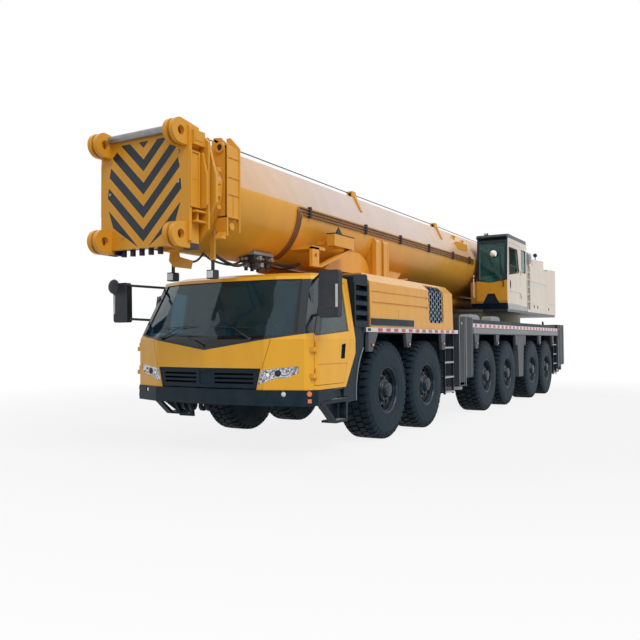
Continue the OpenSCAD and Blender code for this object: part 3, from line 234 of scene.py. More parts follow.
def painted(name, colour, roughness=0.34, coat=0.55, dust=0.22, dust_top=1.2, round_edge=0.006,
            zones=None, shine=0.30):
    """Enamel paint. zones(tree, xyz) may give a list of (mask, colour) laid over it."""
    made, tree, shader, place, xyz = start_finish(name)
    base = colour
    for mask, over in (zones(tree, xyz) if zones else []):
        base = blend(tree, mask, base, over)
    panels = ramp(tree, speckle(tree, place, 0.55, 2.0), 0.3, 0.7, 0.95, 1.04)
    streaks = ramp(tree, speckle(tree, place, 5.0, 5.0, (1.0, 1.0, 0.12)), 0.35, 0.75, 1.02, 0.93)
    shaded = tree.nodes.new("ShaderNodeVectorMath")
    shaded.operation = "SCALE"
    feed(tree, shaded.inputs[0], base)
    feed(tree, shaded.inputs["Scale"], calc(tree, "MULTIPLY", panels, streaks))
    grime = speckle(tree, place, 7.0, 6.0)
    low_down = ramp(tree, xyz[2], 0.3, dust_top, 1.0, 0.12)
    dusty = calc(tree, "MULTIPLY", low_down, ramp(tree, grime, 0.42, 0.72, 0.0, dust))
    feed(tree, shader.inputs["Base Color"], blend(tree, dusty, shaded.outputs[0], DUST))
    worn = ramp(tree, grime, 0.3, 0.8, roughness - 0.05, roughness + 0.1)
    feed(tree, shader.inputs["Roughness"], calc(tree, "MULTIPLY_ADD", dusty, 0.5, worn))
    shader.inputs["Specular IOR Level"].default_value = shine
    upward = ramp(tree, shader_normal(tree)[2], 0.15, 0.50, 0.22, 1.0)
    feed(tree, shader.inputs["Coat Weight"], calc(tree, "MULTIPLY", upward, coat))
    shader.inputs["Coat Roughness"].default_value = 0.08
    waves = speckle(tree, place, 1.6, 1.0)
    relief = calc(tree, "MULTIPLY_ADD", speckle(tree, place, 90.0, 2.0), 0.1, waves)
    rounded = add_node(tree, "ShaderNodeBevel", Radius=round_edge)
    rounded.samples = 4
    bump = add_node(tree, "ShaderNodeBump", Strength=0.10, Distance=0.02, Height=relief,
                    Normal=rounded.outputs[0])
    feed(tree, shader.inputs["Normal"], bump.outputs[0])
    return made


# %% [markdown]
# Where one welded shell wears two colours, the second is masked off and sprayed over
# the first. The masks are worked out from the place on the crane: a zone is the product
# of a few straight limits, and each limit is 1 on its inner side.

# %% Masks for a second colour
AMBER = (0.80, 0.375, 0.034)
# a painted reflection: the pale sky mirrored on the boom's upper faces
SKY_REFLECTION_PAINT = (0.70, 0.64, 0.66)
# a lighter copy of the amber: painted light on the road cab
CAB_AMBER_LIT = (0.93, 0.460, 0.028)
# a darker copy of the amber: painted shade on the boom's head
HEAD_AMBER_SHADED = (0.74, 0.330, 0.020)
CREAM = (0.76, 0.66, 0.555)
NAVY = (0.004, 0.016, 0.029)
CHARCOAL = (0.005, 0.018, 0.030)
GREY = (0.110, 0.122, 0.138)
LEG_GREY = (0.062, 0.072, 0.086)


def over(tree, value, limit):
    """1 where value is over the limit."""
    return calc(tree, "GREATER_THAN", value, limit)


def under(tree, value, limit):
    """1 where value is under the limit."""
    return calc(tree, "LESS_THAN", value, limit)


def all_of(tree, *masks):
    """1 only where every mask is 1."""
    whole = masks[0]
    for mask in masks[1:]:
        whole = calc(tree, "MULTIPLY", whole, mask)
    return whole


def between(tree, value, low, high):
    """1 where value lies from low to high."""
    return all_of(tree, over(tree, value, low), under(tree, value, high))


def line(tree, value, slope, start):
    """start + slope * value, for a limit that slants."""
    return calc(tree, "MULTIPLY_ADD", value, slope, start)


# %% [markdown]
# The boom's head carries the hazard chevrons: dark bands at even steps that rise to both
# sides, cut off along a shield outline. The road cab is dark round its windows, and the
# front of the operator's cab is amber between a dark window frame and a dark foot.

# %% Where the second colours go
CHEVRON_STEP = 0.2795
CHEVRON_WIDTH = 0.143
CHEVRON_SLOPE = 0.97
CHEVRON_FOOT = 2.377


def boom_top_sky_reflection(tree, xyz):
    """The sloping upper faces of the boom, pale with a painted reflection of the sky that fades towards both
    ends.
    """
    x, y, z = xyz
    facing_up = ramp(tree, shader_normal(tree)[2], 0.30, 0.42)
    forward = ramp(tree, x, 0.2, 2.9, 0.74, 0.33)
    backward = ramp(tree, x, -6.0, -3.0, 0.45, 1.0)
    # painted reflection: the pale sky colour is laid on the upward faces, fading towards both ends
    return [(all_of(tree, facing_up, forward, backward, over(tree, z, 3.39)), SKY_REFLECTION_PAINT)]


def chevrons(tree, xyz):
    """Dark chevrons in a shield on the head's front plate, and the dark couplings below."""
    x, y, z = xyz
    side = calc(tree, "ABSOLUTE", y)
    rise = calc(tree, "MULTIPLY_ADD", side, -CHEVRON_SLOPE, z)
    turn = calc(tree, "MODULO", calc(tree, "SUBTRACT", rise, CHEVRON_FOOT - CHEVRON_STEP), CHEVRON_STEP)
    band = under(tree, turn, CHEVRON_WIDTH)
    lowest = over(tree, rise, CHEVRON_FOOT)
    shield = all_of(
        tree, over(tree, z, 2.605), under(tree, z, 3.852), under(tree, z, line(tree, side, -0.91, 4.180)),
        under(tree, side, line(tree, z, -0.241, 1.403)), under(tree, side, line(tree, z, -0.1085, 0.9394)),
        under(tree, side, line(tree, z, 0.0938, 0.286)), under(tree, side, line(tree, z, 0.352, -0.5067)),
        over(tree, z, line(tree, side, 0.635, 2.5424)))
    front = over(tree, x, 3.604)
    couplings = all_of(tree, under(tree, z, 2.604), under(tree, x, 3.56))
    return [(all_of(tree, front, shield, band, lowest), NAVY), (couplings, (0.035, 0.025, 0.045))]


def cab_dark(tree, xyz):
    """The dark band round the road cab's windows: front pillars and the V below."""
    x, y, z = xyz
    side = calc(tree, "ABSOLUTE", y)
    above_v = over(tree, z, line(tree, side, 0.148, 1.362))
    pillar = over(tree, x, line(tree, z, -0.473, 2.748))
    frame_round = all_of(tree, above_v, pillar, under(tree, z, 2.285))
    sill = all_of(tree, over(tree, z, line(tree, x, -0.075, 1.700)),
                  under(tree, z, line(tree, x, -0.075, 1.735)),
                  over(tree, side, 1.40), between(tree, x, 1.24, 2.1))
    grip = all_of(tree, between(tree, x, 1.35, 1.51), between(tree, z, 1.235, 1.442),
                  under(tree, side, 1.4985), over(tree, side, 1.46))
    return [(frame_round, NAVY), (sill, NAVY), (grip, NAVY)]


def operator_front(tree, xyz):
    """The operator's cab: dark front frame and foot, an amber front, a grey skirt."""
    x, y, z = xyz
    front = all_of(tree, over(tree, shader_normal(tree)[0], 0.45), over(tree, x, -6.8))
    off_middle = calc(tree, "ABSOLUTE", calc(tree, "SUBTRACT", y, 1.11))
    under_frame = under(tree, z, line(tree, off_middle, 0.16, 2.815))
    notch = all_of(tree, under(tree, z, 2.565), under(tree, off_middle, line(tree, z, -0.52, 1.415)))
    no_notch = calc(tree, "SUBTRACT", 1.0, notch)
    amber = all_of(tree, front, over(tree, z, 2.345), under_frame, no_notch)
    lower_box = all_of(tree, under(tree, y, 0.78), between(tree, z, 2.345, 2.86), over(tree, x, -7.3))
    skirt = under(tree, z, 2.315)
    grip = all_of(tree, over(tree, y, 1.44), between(tree, x, -6.87, -6.74), between(tree, z, 2.66, 2.90),
                  under(tree, y, 1.4975))
    return [(skirt, (0.34, 0.345, 0.36)), (front, NAVY), (amber, AMBER), (lower_box, AMBER),
            (over(tree, z, 3.862), NAVY), (grip, NAVY)]


def housing_dark(tree, xyz):
    """The machinery housing: dark ladder recess and fan box, and a plain pale band."""
    x, y, z = xyz
    recess = all_of(tree, between(tree, x, -8.822, -8.52), under(tree, calc(tree, "ABSOLUTE", y), 1.388),
                    between(tree, z, 2.25, 3.41))
    fan_box = all_of(tree, over(tree, x, -8.856), over(tree, z, 3.405))
    band = all_of(tree, between(tree, x, -10.50, -8.92), between(tree, z, 2.885, 2.957), over(tree, y, 1.447))
    return [(recess, NAVY), (fan_box, NAVY), (band, (0.58, 0.66, 0.68))]


def platform_dark(tree, xyz):
    """The slewing platform: its flat base is dark, the cheeks above are amber."""
    return [(under(tree, xyz[2], 2.205), (0.030, 0.034, 0.042))]


def deck_tops(tree, xyz):
    """The decks: dark walking faces, and the pale mats that lie on the rear one."""
    x, y, z = xyz
    walking = over(tree, shader_normal(tree)[2], 0.7)
    upper = all_of(tree, over(tree, z, 1.822), under(tree, x, -3.9))
    mats = all_of(tree, over(tree, z, 1.903), over(tree, calc(tree, "ABSOLUTE", y), 1.16))
    return [(walking, (0.050, 0.062, 0.078)), (upper, (0.032, 0.044, 0.060)), (mats, (0.34, 0.36, 0.38))]


def treads_bright(tree, xyz):
    """Ladders and steps: dark stiles with worn bright treads."""
    tread = over(tree, shader_normal(tree)[2], 0.7)
    rung = all_of(tree, over(tree, shader_normal(tree)[1], 0.7), under(tree, xyz[0], -2.0),
                  under(tree, calc(tree, "MODULO", calc(tree, "SUBTRACT", 1.63, xyz[2]), 0.27), 0.031))
    return [(tread, (0.36, 0.37, 0.38)), (rung, (0.42, 0.43, 0.45))]


def comb_pale_cells_shaded(tree, xyz):
    """The honeycomb's outward faces are pale and its cell walls a dark blue painted shade; the intake tower
    and mudguard are dark.
    """
    comb = under(tree, xyz[0], -1.0)
    outward = over(tree, calc(tree, "ABSOLUTE", shader_normal(tree)[1]), 0.80)
    # painted shade: the comb's cell walls take a dark blue copy of the pale mesh
    return [(comb, (0.012, 0.030, 0.065)), (all_of(tree, comb, outward), (0.30, 0.36, 0.42))]


amber_paint = painted("amber_paint", AMBER)
boom_paint = painted("boom_paint", AMBER, zones=boom_top_sky_reflection)
head_paint = painted("boom_head_paint", HEAD_AMBER_SHADED, zones=chevrons)
cab_paint = painted("road_cab_paint", CAB_AMBER_LIT, dust=0.10, zones=cab_dark)
operator_paint = painted("operator_cab_paint", CREAM, dust=0.15, zones=operator_front)
housing_paint = painted("housing_paint", CREAM, dust=0.15, zones=housing_dark)
platform_paint = painted("platform_paint", AMBER, zones=platform_dark)
charcoal_paint = painted("charcoal_paint", CHARCOAL, roughness=0.45, coat=0.10, dust=0.05, shine=0.16)
grey_paint = painted("leg_paint", LEG_GREY, roughness=0.55, coat=0.04, dust=0.08, dust_top=2.0, shine=0.08)
deck_paint = painted("deck_paint", GREY, roughness=0.50, coat=0.05, dust=0.10, dust_top=2.0,
                     zones=deck_tops, shine=0.10)
ladder_paint = painted("ladder_paint", NAVY, roughness=0.45, coat=0.1, dust=0.08, round_edge=0.003,
                       shine=0.16, zones=treads_bright)
grille_paint = painted("grille_paint", (0.005, 0.016, 0.027), roughness=0.5, coat=0.1, dust=0.04, shine=0.16,
                       round_edge=0.004, zones=comb_pale_cells_shaded)
print("paints", sum("paint" in m.name for m in bpy.data.materials))

# %% [markdown]
# ## Plastic, glass, steel and rubber
# The grained plastic of grilles and mirrors is matt and slightly dusty. The glass is a
# thin tinted pane, its lower edge printed black where it is glued on. The slewing ring
# wears an olive primer, the rod is hard chrome, and the tyres are rubber with a dusty
# bloom on the sidewalls.

# %% The other finishes


def grained(name, colour, roughness=0.6, grain=220.0):
    """Moulded plastic or coarse paint with a fine grain."""
    made, tree, shader, place, xyz = start_finish(name)
    cloud = speckle(tree, place, 3.0, 5.0)
    dusty = ramp(tree, cloud, 0.45, 0.8, 0.0, 0.10)
    feed(tree, shader.inputs["Base Color"], blend(tree, dusty, colour, DUST))
    feed(tree, shader.inputs["Roughness"], ramp(tree, cloud, 0.3, 0.7, roughness - 0.08, roughness + 0.08))
    rounded = add_node(tree, "ShaderNodeBevel", Radius=0.004)
    rounded.samples = 3
    bump = add_node(tree, "ShaderNodeBump", Strength=0.25, Distance=0.002,
        Height=speckle(tree, place, grain, 2.0), Normal=rounded.outputs[0])
    feed(tree, shader.inputs["Normal"], bump.outputs[0])
    return made


def bare_metal(name, colour, roughness=0.35, along=(1, 1, 8)):
    """Bare or galvanised steel with drawn marks along an axis."""
    made, tree, shader, place, xyz = start_finish(name)
    drawn = speckle(tree, place, 30.0, 4.0, along)
    cloud = speckle(tree, place, 4.0, 4.0)
    dulled = tuple(c * 0.6 for c in colour)
    dull = ramp(tree, cloud, 0.4, 0.7, 0.0, 0.35)
    feed(tree, shader.inputs["Base Color"], blend(tree, dull, colour, dulled))
    feed(tree, shader.inputs["Roughness"], ramp(tree, drawn, 0.3, 0.7, roughness - 0.08, roughness + 0.12))
    shader.inputs["Metallic"].default_value = 1.0
    return made


def tinted_pane(name, tint, printed=None):
    """Tinted glass; printed(tree, xyz) gives the mask of its black edge print."""
    made, tree, shader, place, xyz = start_finish(name)
    shader.inputs["Roughness"].default_value = 0.02
    shader.inputs["IOR"].default_value = 1.45
    cloud = speckle(tree, place, 2.5, 4.0)
    clear = ramp(tree, cloud, 0.3, 0.7, 0.94, 0.86)
    colour = tint
    if printed:
        mask = printed(tree, xyz)
        colour = blend(tree, mask, tint, (0.008, 0.010, 0.013))
        clear = calc(tree, "MULTIPLY", clear, calc(tree, "SUBTRACT", 1.0, mask))
    feed(tree, shader.inputs["Base Color"], colour if isinstance(colour, bpy.types.NodeSocket)
        else (*colour, 1))
    feed(tree, shader.inputs["Transmission Weight"], clear)
    return made


def screen_print(tree, xyz):
    """The black print along the foot and the sides of the windscreen."""
    x, y, z = xyz
    foot = calc(tree, "LESS_THAN", z, 1.545)
    side = calc(tree, "GREATER_THAN", calc(tree, "MULTIPLY_ADD", z, 0.155, calc(tree, "ABSOLUTE", y)), 1.475)
    return calc(tree, "MAXIMUM", foot, side)


black_plastic = grained("black_plastic", (0.005, 0.013, 0.022))
seat_cloth = grained("seat_cloth", (0.020, 0.024, 0.030), 0.85, 400.0)
cast_iron = grained("engine_iron", (0.10, 0.10, 0.10), 0.7, 60.0)
ring_paint = painted("ring_primer", (0.075, 0.068, 0.036), roughness=0.5, coat=0.1, dust=0.08, dust_top=3.0)
windscreen_glass = tinted_pane("windscreen_glass", (0.07, 0.22, 0.31), screen_print)
cab_window_glass = tinted_pane("window_glass", (0.22, 0.34, 0.37))
operator_glass = tinted_pane("operator_window_glass", (0.05, 0.36, 0.38))
jack_steel = bare_metal("jack_steel", (0.30, 0.30, 0.31), 0.45)
rod_chrome = bare_metal("rod_chrome", (0.75, 0.76, 0.78), 0.16, (8, 1, 1))
lamp_silver = bare_metal("lamp_silver", (0.85, 0.87, 0.90), 0.14)
print("finishes", len(bpy.data.materials))

# %% [markdown]
# ## Dress the CAD nodes
# The solids that keep their own shape only need their finish. A table says which finish
# each node takes. Beams, jacks, knuckles and wheels come in sets, so the start of the name
# decides for them. Nodes that a finer piece stands for are hidden later.

# %% Give every CAD node its finish
NODE_FINISH = {
    "chassis_frame": charcoal_paint, "outrigger_boxes": grey_paint, "deck": deck_paint,
    "axles": charcoal_paint, "cab_shell": cab_paint, "cab_door_left": cab_paint, "cab_door_right": cab_paint,
    "cab_glass": windscreen_glass, "door_glass_left": cab_window_glass, "door_glass_right": cab_window_glass,
    "cab_interior": seat_cloth, "front_bumper": charcoal_paint, "headlamps": lamp_silver,
    "mirrors": black_plastic, "grilles": grille_paint, "engine_hood": amber_paint,
    "engine_block": cast_iron, "ladders": ladder_paint,
    "slewing_ring": ring_paint, "turntable": platform_paint, "operator_cab": operator_paint,
    "operator_glass": operator_glass, "operator_door": operator_paint, "machinery_housing": housing_paint,
    "winch": jack_steel, "boom_base": boom_paint, "boom_fittings": black_plastic,
    "boom_section_2": amber_paint, "boom_section_3": amber_paint, "boom_head": head_paint,
    "lift_barrel": amber_paint,
    "lift_rod": rod_chrome,
}
PREFIX_FINISH = {"beam_": grey_paint, "jack_": jack_steel, "knuckle_": charcoal_paint,
    "wheel_": black_plastic}
for name, solid in nodes.items():
    finish = NODE_FINISH.get(name) or next(f for p, f in PREFIX_FINISH.items() if name.startswith(p))
    solid.data.materials.clear()
    solid.data.materials.append(finish)
print("dressed", len(nodes), "CAD nodes")

# %% [markdown]
# ## Floor
# A pale floor keeps the crane's shadow near it and runs out into plain white with
# distance, so that no horizon shows behind the wheels.

# %% Lay the pale floor
FLOOR_HALF = 300.0
floor_mesh = bpy.data.meshes.new("studio_floor")
corners = [(sx * FLOOR_HALF, sy * FLOOR_HALF, 0) for sx, sy in ((-1, -1), (1, -1), (1, 1), (-1, 1))]
floor_mesh.from_pydata(corners, [], [(0, 1, 2, 3)])
floor = bpy.data.objects.new("studio_floor", floor_mesh)
bpy.context.scene.collection.objects.link(floor)
floor_finish, tree, shader, place, xyz = start_finish("floor_finish")
feed(tree, shader.inputs["Base Color"], (0.50, 0.50, 0.50, 1))
shader.inputs["Roughness"].default_value = 0.9
shader.inputs["Specular IOR Level"].default_value = 0.1
reach = tree.nodes.new("ShaderNodeVectorMath")
reach.operation = "LENGTH"
feed(tree, reach.inputs[0], place)
far = ramp(tree, reach.outputs["Value"], 7.0, 14.0, 0.84, 1.0)
rays = tree.nodes.new("ShaderNodeLightPath")
direct = calc(tree, "MAXIMUM", rays.outputs["Is Camera Ray"],
    calc(tree, "MAXIMUM", rays.outputs["Is Glossy Ray"], rays.outputs["Is Transmission Ray"]))
white = add_node(tree, "ShaderNodeEmission", Strength=1.0)
white.inputs["Color"].default_value = (1, 1, 1, 1)
mixed = tree.nodes.new("ShaderNodeMixShader")
feed(tree, mixed.inputs[0], calc(tree, "MULTIPLY", far, direct))
feed(tree, mixed.inputs[1], shader.outputs[0])
feed(tree, mixed.inputs[2], white.outputs[0])
feed(tree, tree.nodes["Material Output"].inputs["Surface"], mixed.outputs[0])
floor_mesh.materials.append(floor_finish)

# %% [markdown]
# ## Mesh helpers
# Fine pieces are built from a few kinds of shape: an outline carried along an axis, a
# straight rod, a pipe along a bent path and a profile turned about an axis. Each helper
# returns plain points and faces, and one more helper joins them into a piece, turns the
# faces outwards, rounds the edges and hangs the piece on the body it moves with.

# %% Shapes


def prism(outline, axis, low, high):
    """An outline carried along x, y or z from low to high."""
    count = len(outline)
    spread = {
        "x": lambda u, v, w: (w, u, v),
        "y": lambda u, v, w: (u, w, v),
        "z": lambda u, v, w: (u, v, w),
    }[axis]
    points = [spread(u, v, w) for w in (low, high) for u, v in outline]
    faces = [tuple(range(count)), tuple(range(count, 2 * count))]
    faces += [(i, (i + 1) % count, (i + 1) % count + count, i + count) for i in range(count)]
    return points, faces


def box(x0, x1, y0, y1, z0, z1):
    """A box between two corners."""
    return prism([(x0, y0), (x1, y0), (x1, y1), (x0, y1)], "z", z0, z1)


def sweep(path, radius, sides=8):
    """A round pipe along a path of points; radius is a number or one for each point."""
    path = [Vector(p) for p in path]
    radii = radius if isinstance(radius, (list, tuple)) else [radius] * len(path)
    points, faces = [], []
    normal = None
    for i, here in enumerate(path):
        before, after = path[max(i - 1, 0)], path[min(i + 1, len(path) - 1)]
        along = (after - before).normalized()
        if normal is None:
            normal = along.cross(Vector((0, 0, 1)) if abs(along.z) < 0.9 else Vector((1, 0, 0))).normalized()
        normal = (normal - along * normal.dot(along)).normalized()
        side = along.cross(normal)
        for k in range(sides):
            turn = 2 * math.pi * k / sides
            points.append(tuple(here + radii[i] * (math.cos(turn) * normal + math.sin(turn) * side)))
    for i in range(len(path) - 1):
        for k in range(sides):
            a, b = i * sides + k, i * sides + (k + 1) % sides
            faces.append((a, b, b + sides, a + sides))
    last = (len(path) - 1) * sides
    faces += [tuple(range(sides)), tuple(range(last, last + sides))]
    return points, faces


def rod(a, b, radius, sides=16):
    """A straight round bar."""
    return sweep([a, b], radius, sides)


def curved(control, steps=8):
    """A smooth path through control points (Catmull-Rom)."""
    pts = [Vector(p) for p in control]
    pts = [2 * pts[0] - pts[1]] + pts + [2 * pts[-1] - pts[-2]]
    path = []
    for i in range(1, len(pts) - 2):
        p0, p1, p2, p3 = pts[i - 1:i + 3]
        for k in range(steps):
            t = k / steps
            path.append(0.5 * (2 * p1 + (p2 - p0) * t + (2 * p0 - 5 * p1 + 4 * p2 - p3) * t ** 2 +
                (3 * p1 - p0 - 3 * p2 + p3) * t ** 3))
    return path + [pts[-2]]


def turned(profile, centre, axis, sides=32, capped=True):
    """A profile of (offset along the axis, radius) turned about the axis; capped closes its ends."""
    spread = {
        "x": lambda w, u, v: (w, u, v),
        "y": lambda w, u, v: (u, w, v),
        "z": lambda w, u, v: (u, v, w),
    }[axis]
    points, faces = [], []
    for w, r in profile:
        for k in range(sides):
            turn = 2 * math.pi * k / sides
            offset = spread(w, r * math.cos(turn), r * math.sin(turn))
            points.append(tuple(c + o for c, o in zip(centre, offset)))
    for i in range(len(profile) - 1):
        for k in range(sides):
            a, b = i * sides + k, i * sides + (k + 1) % sides
            faces.append((a, b, b + sides, a + sides))
    last = (len(profile) - 1) * sides
    for ring, radius in ((0, profile[0][1]), (last, profile[-1][1])):
        if radius > 0 and capped:
            faces.append(tuple(range(ring, ring + sides)))
    return points, faces


def mirrored(shapes):
    """The shapes and their copies on the right side."""
    return shapes + [([(x, -y, z) for x, y, z in points], faces) for points, faces in shapes]


def build(name, shapes, body, finish, bevel=0.0, smooth=35.0, origin=None):
    """Joins shapes into one piece. Shapes may be (points, faces) or (points, faces, finish number)."""
    points, faces, slots = [], [], []
    for shape in shapes:
        start = len(points)
        points += [tuple(p) for p in shape[0]]
        faces += [tuple(i + start for i in face) for face in shape[1]]
        slots += [shape[2] if len(shape) > 2 else 0] * len(shape[1])
    mesh = bpy.data.meshes.new(name)
    shift = Vector((AXLE_X, 0, 0)) if origin is None else Vector((0, 0, 0))
    mesh.from_pydata([tuple(Vector(p) + shift) for p in points], [], faces)
    for finish_one in (finish if isinstance(finish, (list, tuple)) else [finish]):
        mesh.materials.append(finish_one)
    mesh.polygons.foreach_set("material_index", slots)
    work = bmesh.new()
    work.from_mesh(mesh)
    bmesh.ops.remove_doubles(work, verts=work.verts, dist=1e-6)
    bmesh.ops.recalc_face_normals(work, faces=work.faces)
    work.to_mesh(mesh)
    work.free()
    mesh.shade_smooth()
    mesh.set_sharp_from_angle(angle=math.radians(smooth))
    piece = bpy.data.objects.new(name, mesh)
    if origin is not None:
        piece.location = origin
    bpy.context.scene.collection.objects.link(piece)
    if bevel:
        rounding = piece.modifiers.new("rounded_edges", "BEVEL")
        rounding.width = bevel
        rounding.segments = 2
        rounding.limit_method = "ANGLE"
        rounding.angle_limit = math.radians(40)
    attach(piece, body)
    return piece


# %% [markdown]
# ## Shapes with a hole
# Boom sections are hollow tubes that slide in each other, and a lug has a bore. Both are
# an outer and an inner outline with as many points, joined along an axis, so that no
# cutting tool is needed and the faces stay clean.

# %% Hollow shapes


def hollow(outer, inner, axis, low, high):
    """The wall between two outlines of as many points, carried along an axis."""
    count = len(outer)
    points = prism(outer, axis, low, high)[0] + prism(inner, axis, low, high)[0]
    faces = []
    for i in range(count):
        j = (i + 1) % count
        faces += [(i, j, j + count, i + count), (i + 2 * count, i + 3 * count, j + 3 * count, j + 2 * count)]
        faces += [(i, i + 2 * count, j + 2 * count, j), (i + count, j + count, j + 3 * count, i + 3 * count)]
    return points, faces


def bored(outline, centre, bore):
    """An outline with finer edges, and a round bore of as many points inside it."""
    outer = []
    for (a, b), (c, d) in zip(outline, outline[1:] + outline[:1]):
        steps = max(1, int(math.hypot(c - a, d - b) / 0.04))
        outer += [(a + (c - a) * k / steps, b + (d - b) * k / steps) for k in range(steps)]
    inner = []
    for u, v in outer:
        length = math.hypot(u - centre[0], v - centre[1])
        inner.append((centre[0] + (u - centre[0]) * bore / length,
            centre[1] + (v - centre[1]) * bore / length))
    return outer, inner


def lofted(sections):
    """Outlines (x, outline) of as many points, joined one after the other, ends closed."""
    count = len(sections[0][1])
    points = [(x, y, z) for x, outline in sections for y, z in outline]
    faces = [tuple(range(count)), tuple(range(len(points) - count, len(points)))]
    for k in range(len(sections) - 1):
        for i in range(count):
            j = (i + 1) % count
            faces.append((k * count + i, k * count + j, (k + 1) * count + j, (k + 1) * count + i))
    return points, faces


# %% [markdown]
# ## Wheels
# Each real wheel is a large single tyre on a deep steel disc with a ring of nuts and a
# planetary hub. The tyre is a turned profile with raised sidewall ribs; the tread is
# rows of blocks that stand on it, the shoulder blocks wrapping round onto the sidewall.
# The disc has hand holes, and the same mesh serves all twelve wheels.

# %% The tyre
HALF_TYRE = 0.260
FLANGE_R = 0.352
TREAD_BASE = TYRE_R - 0.026
tyre_profile = [
    (-0.236, 0.335), (-0.248, FLANGE_R), (-0.2535, 0.385), (-0.259, 0.43), (-0.2595, 0.50), (-0.2555, 0.57),
    (-0.2500, 0.612), (-0.2530, 0.616), (-0.2530, 0.628), (-0.2470, 0.632), (-0.236, 0.668),
    (-0.212, TREAD_BASE - 0.006),
    (-0.12, TREAD_BASE), (0.12, TREAD_BASE), (0.212, TREAD_BASE - 0.006), (0.236, 0.668), (0.2470, 0.632),
    (0.2530, 0.628), (0.2530, 0.616), (0.2500, 0.612), (0.2555, 0.57), (0.2595, 0.50), (0.2585, 0.462),
    (0.2575, 0.458), (0.2588, 0.452), (0.2590, 0.43), (0.2545, 0.390), (0.2575, 0.386), (0.2565, 0.374),
    (0.248, FLANGE_R),
    (0.236, 0.335),
]


def tread_block(section, turn, width, skew=0.0):
    """A block of the tread: a section of (offset, radius) points over a part of a turn."""
    points = []
    for side in (-0.5, 0.5):
        for offset, radius in section:
            angle = turn + side * width + skew * offset
            points.append((radius * math.cos(angle), offset, radius * math.sin(angle)))
    count = len(section)
    faces = [tuple(range(count)), tuple(range(count, 2 * count))]
    faces += [(i, (i + 1) % count, (i + 1) % count + count, i + count) for i in range(count)]
    return points, faces, 0


PITCHES = 40
step = 2 * math.pi / PITCHES
shoulder_block = [(0.128, TREAD_BASE - 0.01), (0.128, TYRE_R - 0.0015), (0.200, TYRE_R - 0.005),
    (0.228, TYRE_R - 0.026), (0.2475, 0.640), (0.236, 0.645)]
centre_block = [(0.010, TREAD_BASE - 0.01), (0.010, TYRE_R - 0.001), (0.112, TYRE_R - 0.0015),
    (0.112, TREAD_BASE - 0.01)]
tyre_shapes = [(*turned(tyre_profile, (0, 0, 0), "y", 80, capped=False), 0)]
for i in range(PITCHES):
    tyre_shapes.append(tread_block(shoulder_block, i * step, step * 0.66, 0.15))
    tyre_shapes.append(tread_block([(-w, r) for w, r in shoulder_block], (i + 0.5) * step, step * 0.66, 0.15))
    tyre_shapes.append(tread_block(centre_block, (i + 0.3) * step, step * 0.76, 0.35))
    tyre_shapes.append(tread_block([(-w, r) for w, r in centre_block], (i + 0.8) * step, step * 0.76, 0.35))
print("tyre shapes", len(tyre_shapes))

# %% [markdown]
# The disc sits deep in the rim, so its face is built as rings of small faces, and the
# ring that carries the hand holes leaves some of them out. Nuts with washers stand in a
# circle round the hub, and the hub's cap stands out to the tyre's edge.

# %% The rim, the disc and the hub
DISC_Y = 0.112
rim_profile = [
    (0.236, 0.338), (0.242, 0.350), (0.2465, 0.349), (0.2465, 0.341), (0.236, 0.329), (0.222, 0.322),
    (0.200, 0.321),
    (0.192, 0.312), (0.150, 0.304), (0.128, 0.300), (DISC_Y + 0.004, 0.292),
]
hub_profile = [
    (DISC_Y - 0.002, 0.186), (DISC_Y + 0.004, 0.180), (0.150, 0.172), (0.182, 0.168), (0.192, 0.160),
    (0.196, 0.130),
    (0.206, 0.120), (0.222, 0.116), (0.252, 0.110), (0.262, 0.102), (0.268, 0.080), (0.272, 0.0),
]
inner_barrel = [
    (-0.236, 0.338), (-0.2465, 0.350), (-0.2465, 0.341), (-0.20, 0.318), (-0.10, 0.300), (0.05, 0.292),
    (DISC_Y - 0.02, 0.290),
]
DISC_SIDES = 60


def disc_ring(inner, outer, y_inner, y_outer, open_at=lambda k: False):
    """A flat ring of the disc, with the faces left out where open_at says so."""
    points, faces = [], []
    for k in range(DISC_SIDES):
        turn = 2 * math.pi * k / DISC_SIDES
        for radius, offset in ((inner, y_inner), (outer, y_outer)):
            points.append((radius * math.cos(turn), offset, radius * math.sin(turn)))
    for k in range(DISC_SIDES):
        if not open_at(k):
            a, b = 2 * k, 2 * ((k + 1) % DISC_SIDES)
            faces.append((a, a + 1, b + 1, b))
    return points, faces, 1


def nut(turn, ring, base, size, height):
    """A hexagon nut on a round washer, its axis along y."""
    x, z = ring * math.cos(turn), ring * math.sin(turn)
    washer = turned([(base, size * 1.35), (base + height * 0.2, size * 1.3), (base + height * 0.2, 0)],
        (x, 0, z), "y", 12)
    body = turned([(base + height * 0.2, size), (base + height * 0.85, size), (base + height, size * 0.7),
        (base + height, 0)], (x, 0, z), "y", 6)
    return [(*washer, 2), (*body, 2)]


rim_shapes = [
    (*turned(rim_profile, (0, 0, 0), "y", 80, capped=False), 1),
    (*turned(inner_barrel, (0, 0, 0), "y", 60, capped=False), 1),
    disc_ring(0.176, 0.226, DISC_Y, DISC_Y), disc_ring(0.226, 0.238, DISC_Y, DISC_Y + 0.008),
    disc_ring(0.238, 0.276, DISC_Y + 0.008, DISC_Y + 0.016, lambda k: k % 6 in (0, 1, 2)),
    disc_ring(0.276, 0.294, DISC_Y + 0.016, DISC_Y + 0.006),
    (*turned(hub_profile, (0, 0, 0), "y", 48, capped=False), 1),
]
for i in range(12):
    rim_shapes += nut(i * math.pi / 6, 0.204, DISC_Y, 0.0155, 0.030)
for i in range(10):
    rim_shapes += nut(i * math.pi / 5 + 0.2, 0.145, 0.194, 0.008, 0.010)
for i in range(6):
    rim_shapes += nut(i * math.pi / 3, 0.088, 0.264, 0.007, 0.008)
print("rim shapes", len(rim_shapes))

# %% [markdown]
# The rubber's bloom depends on the distance from the axle, which the shader can work
# out from the object's own coordinates: dark in the tread, paler on the sidewall.

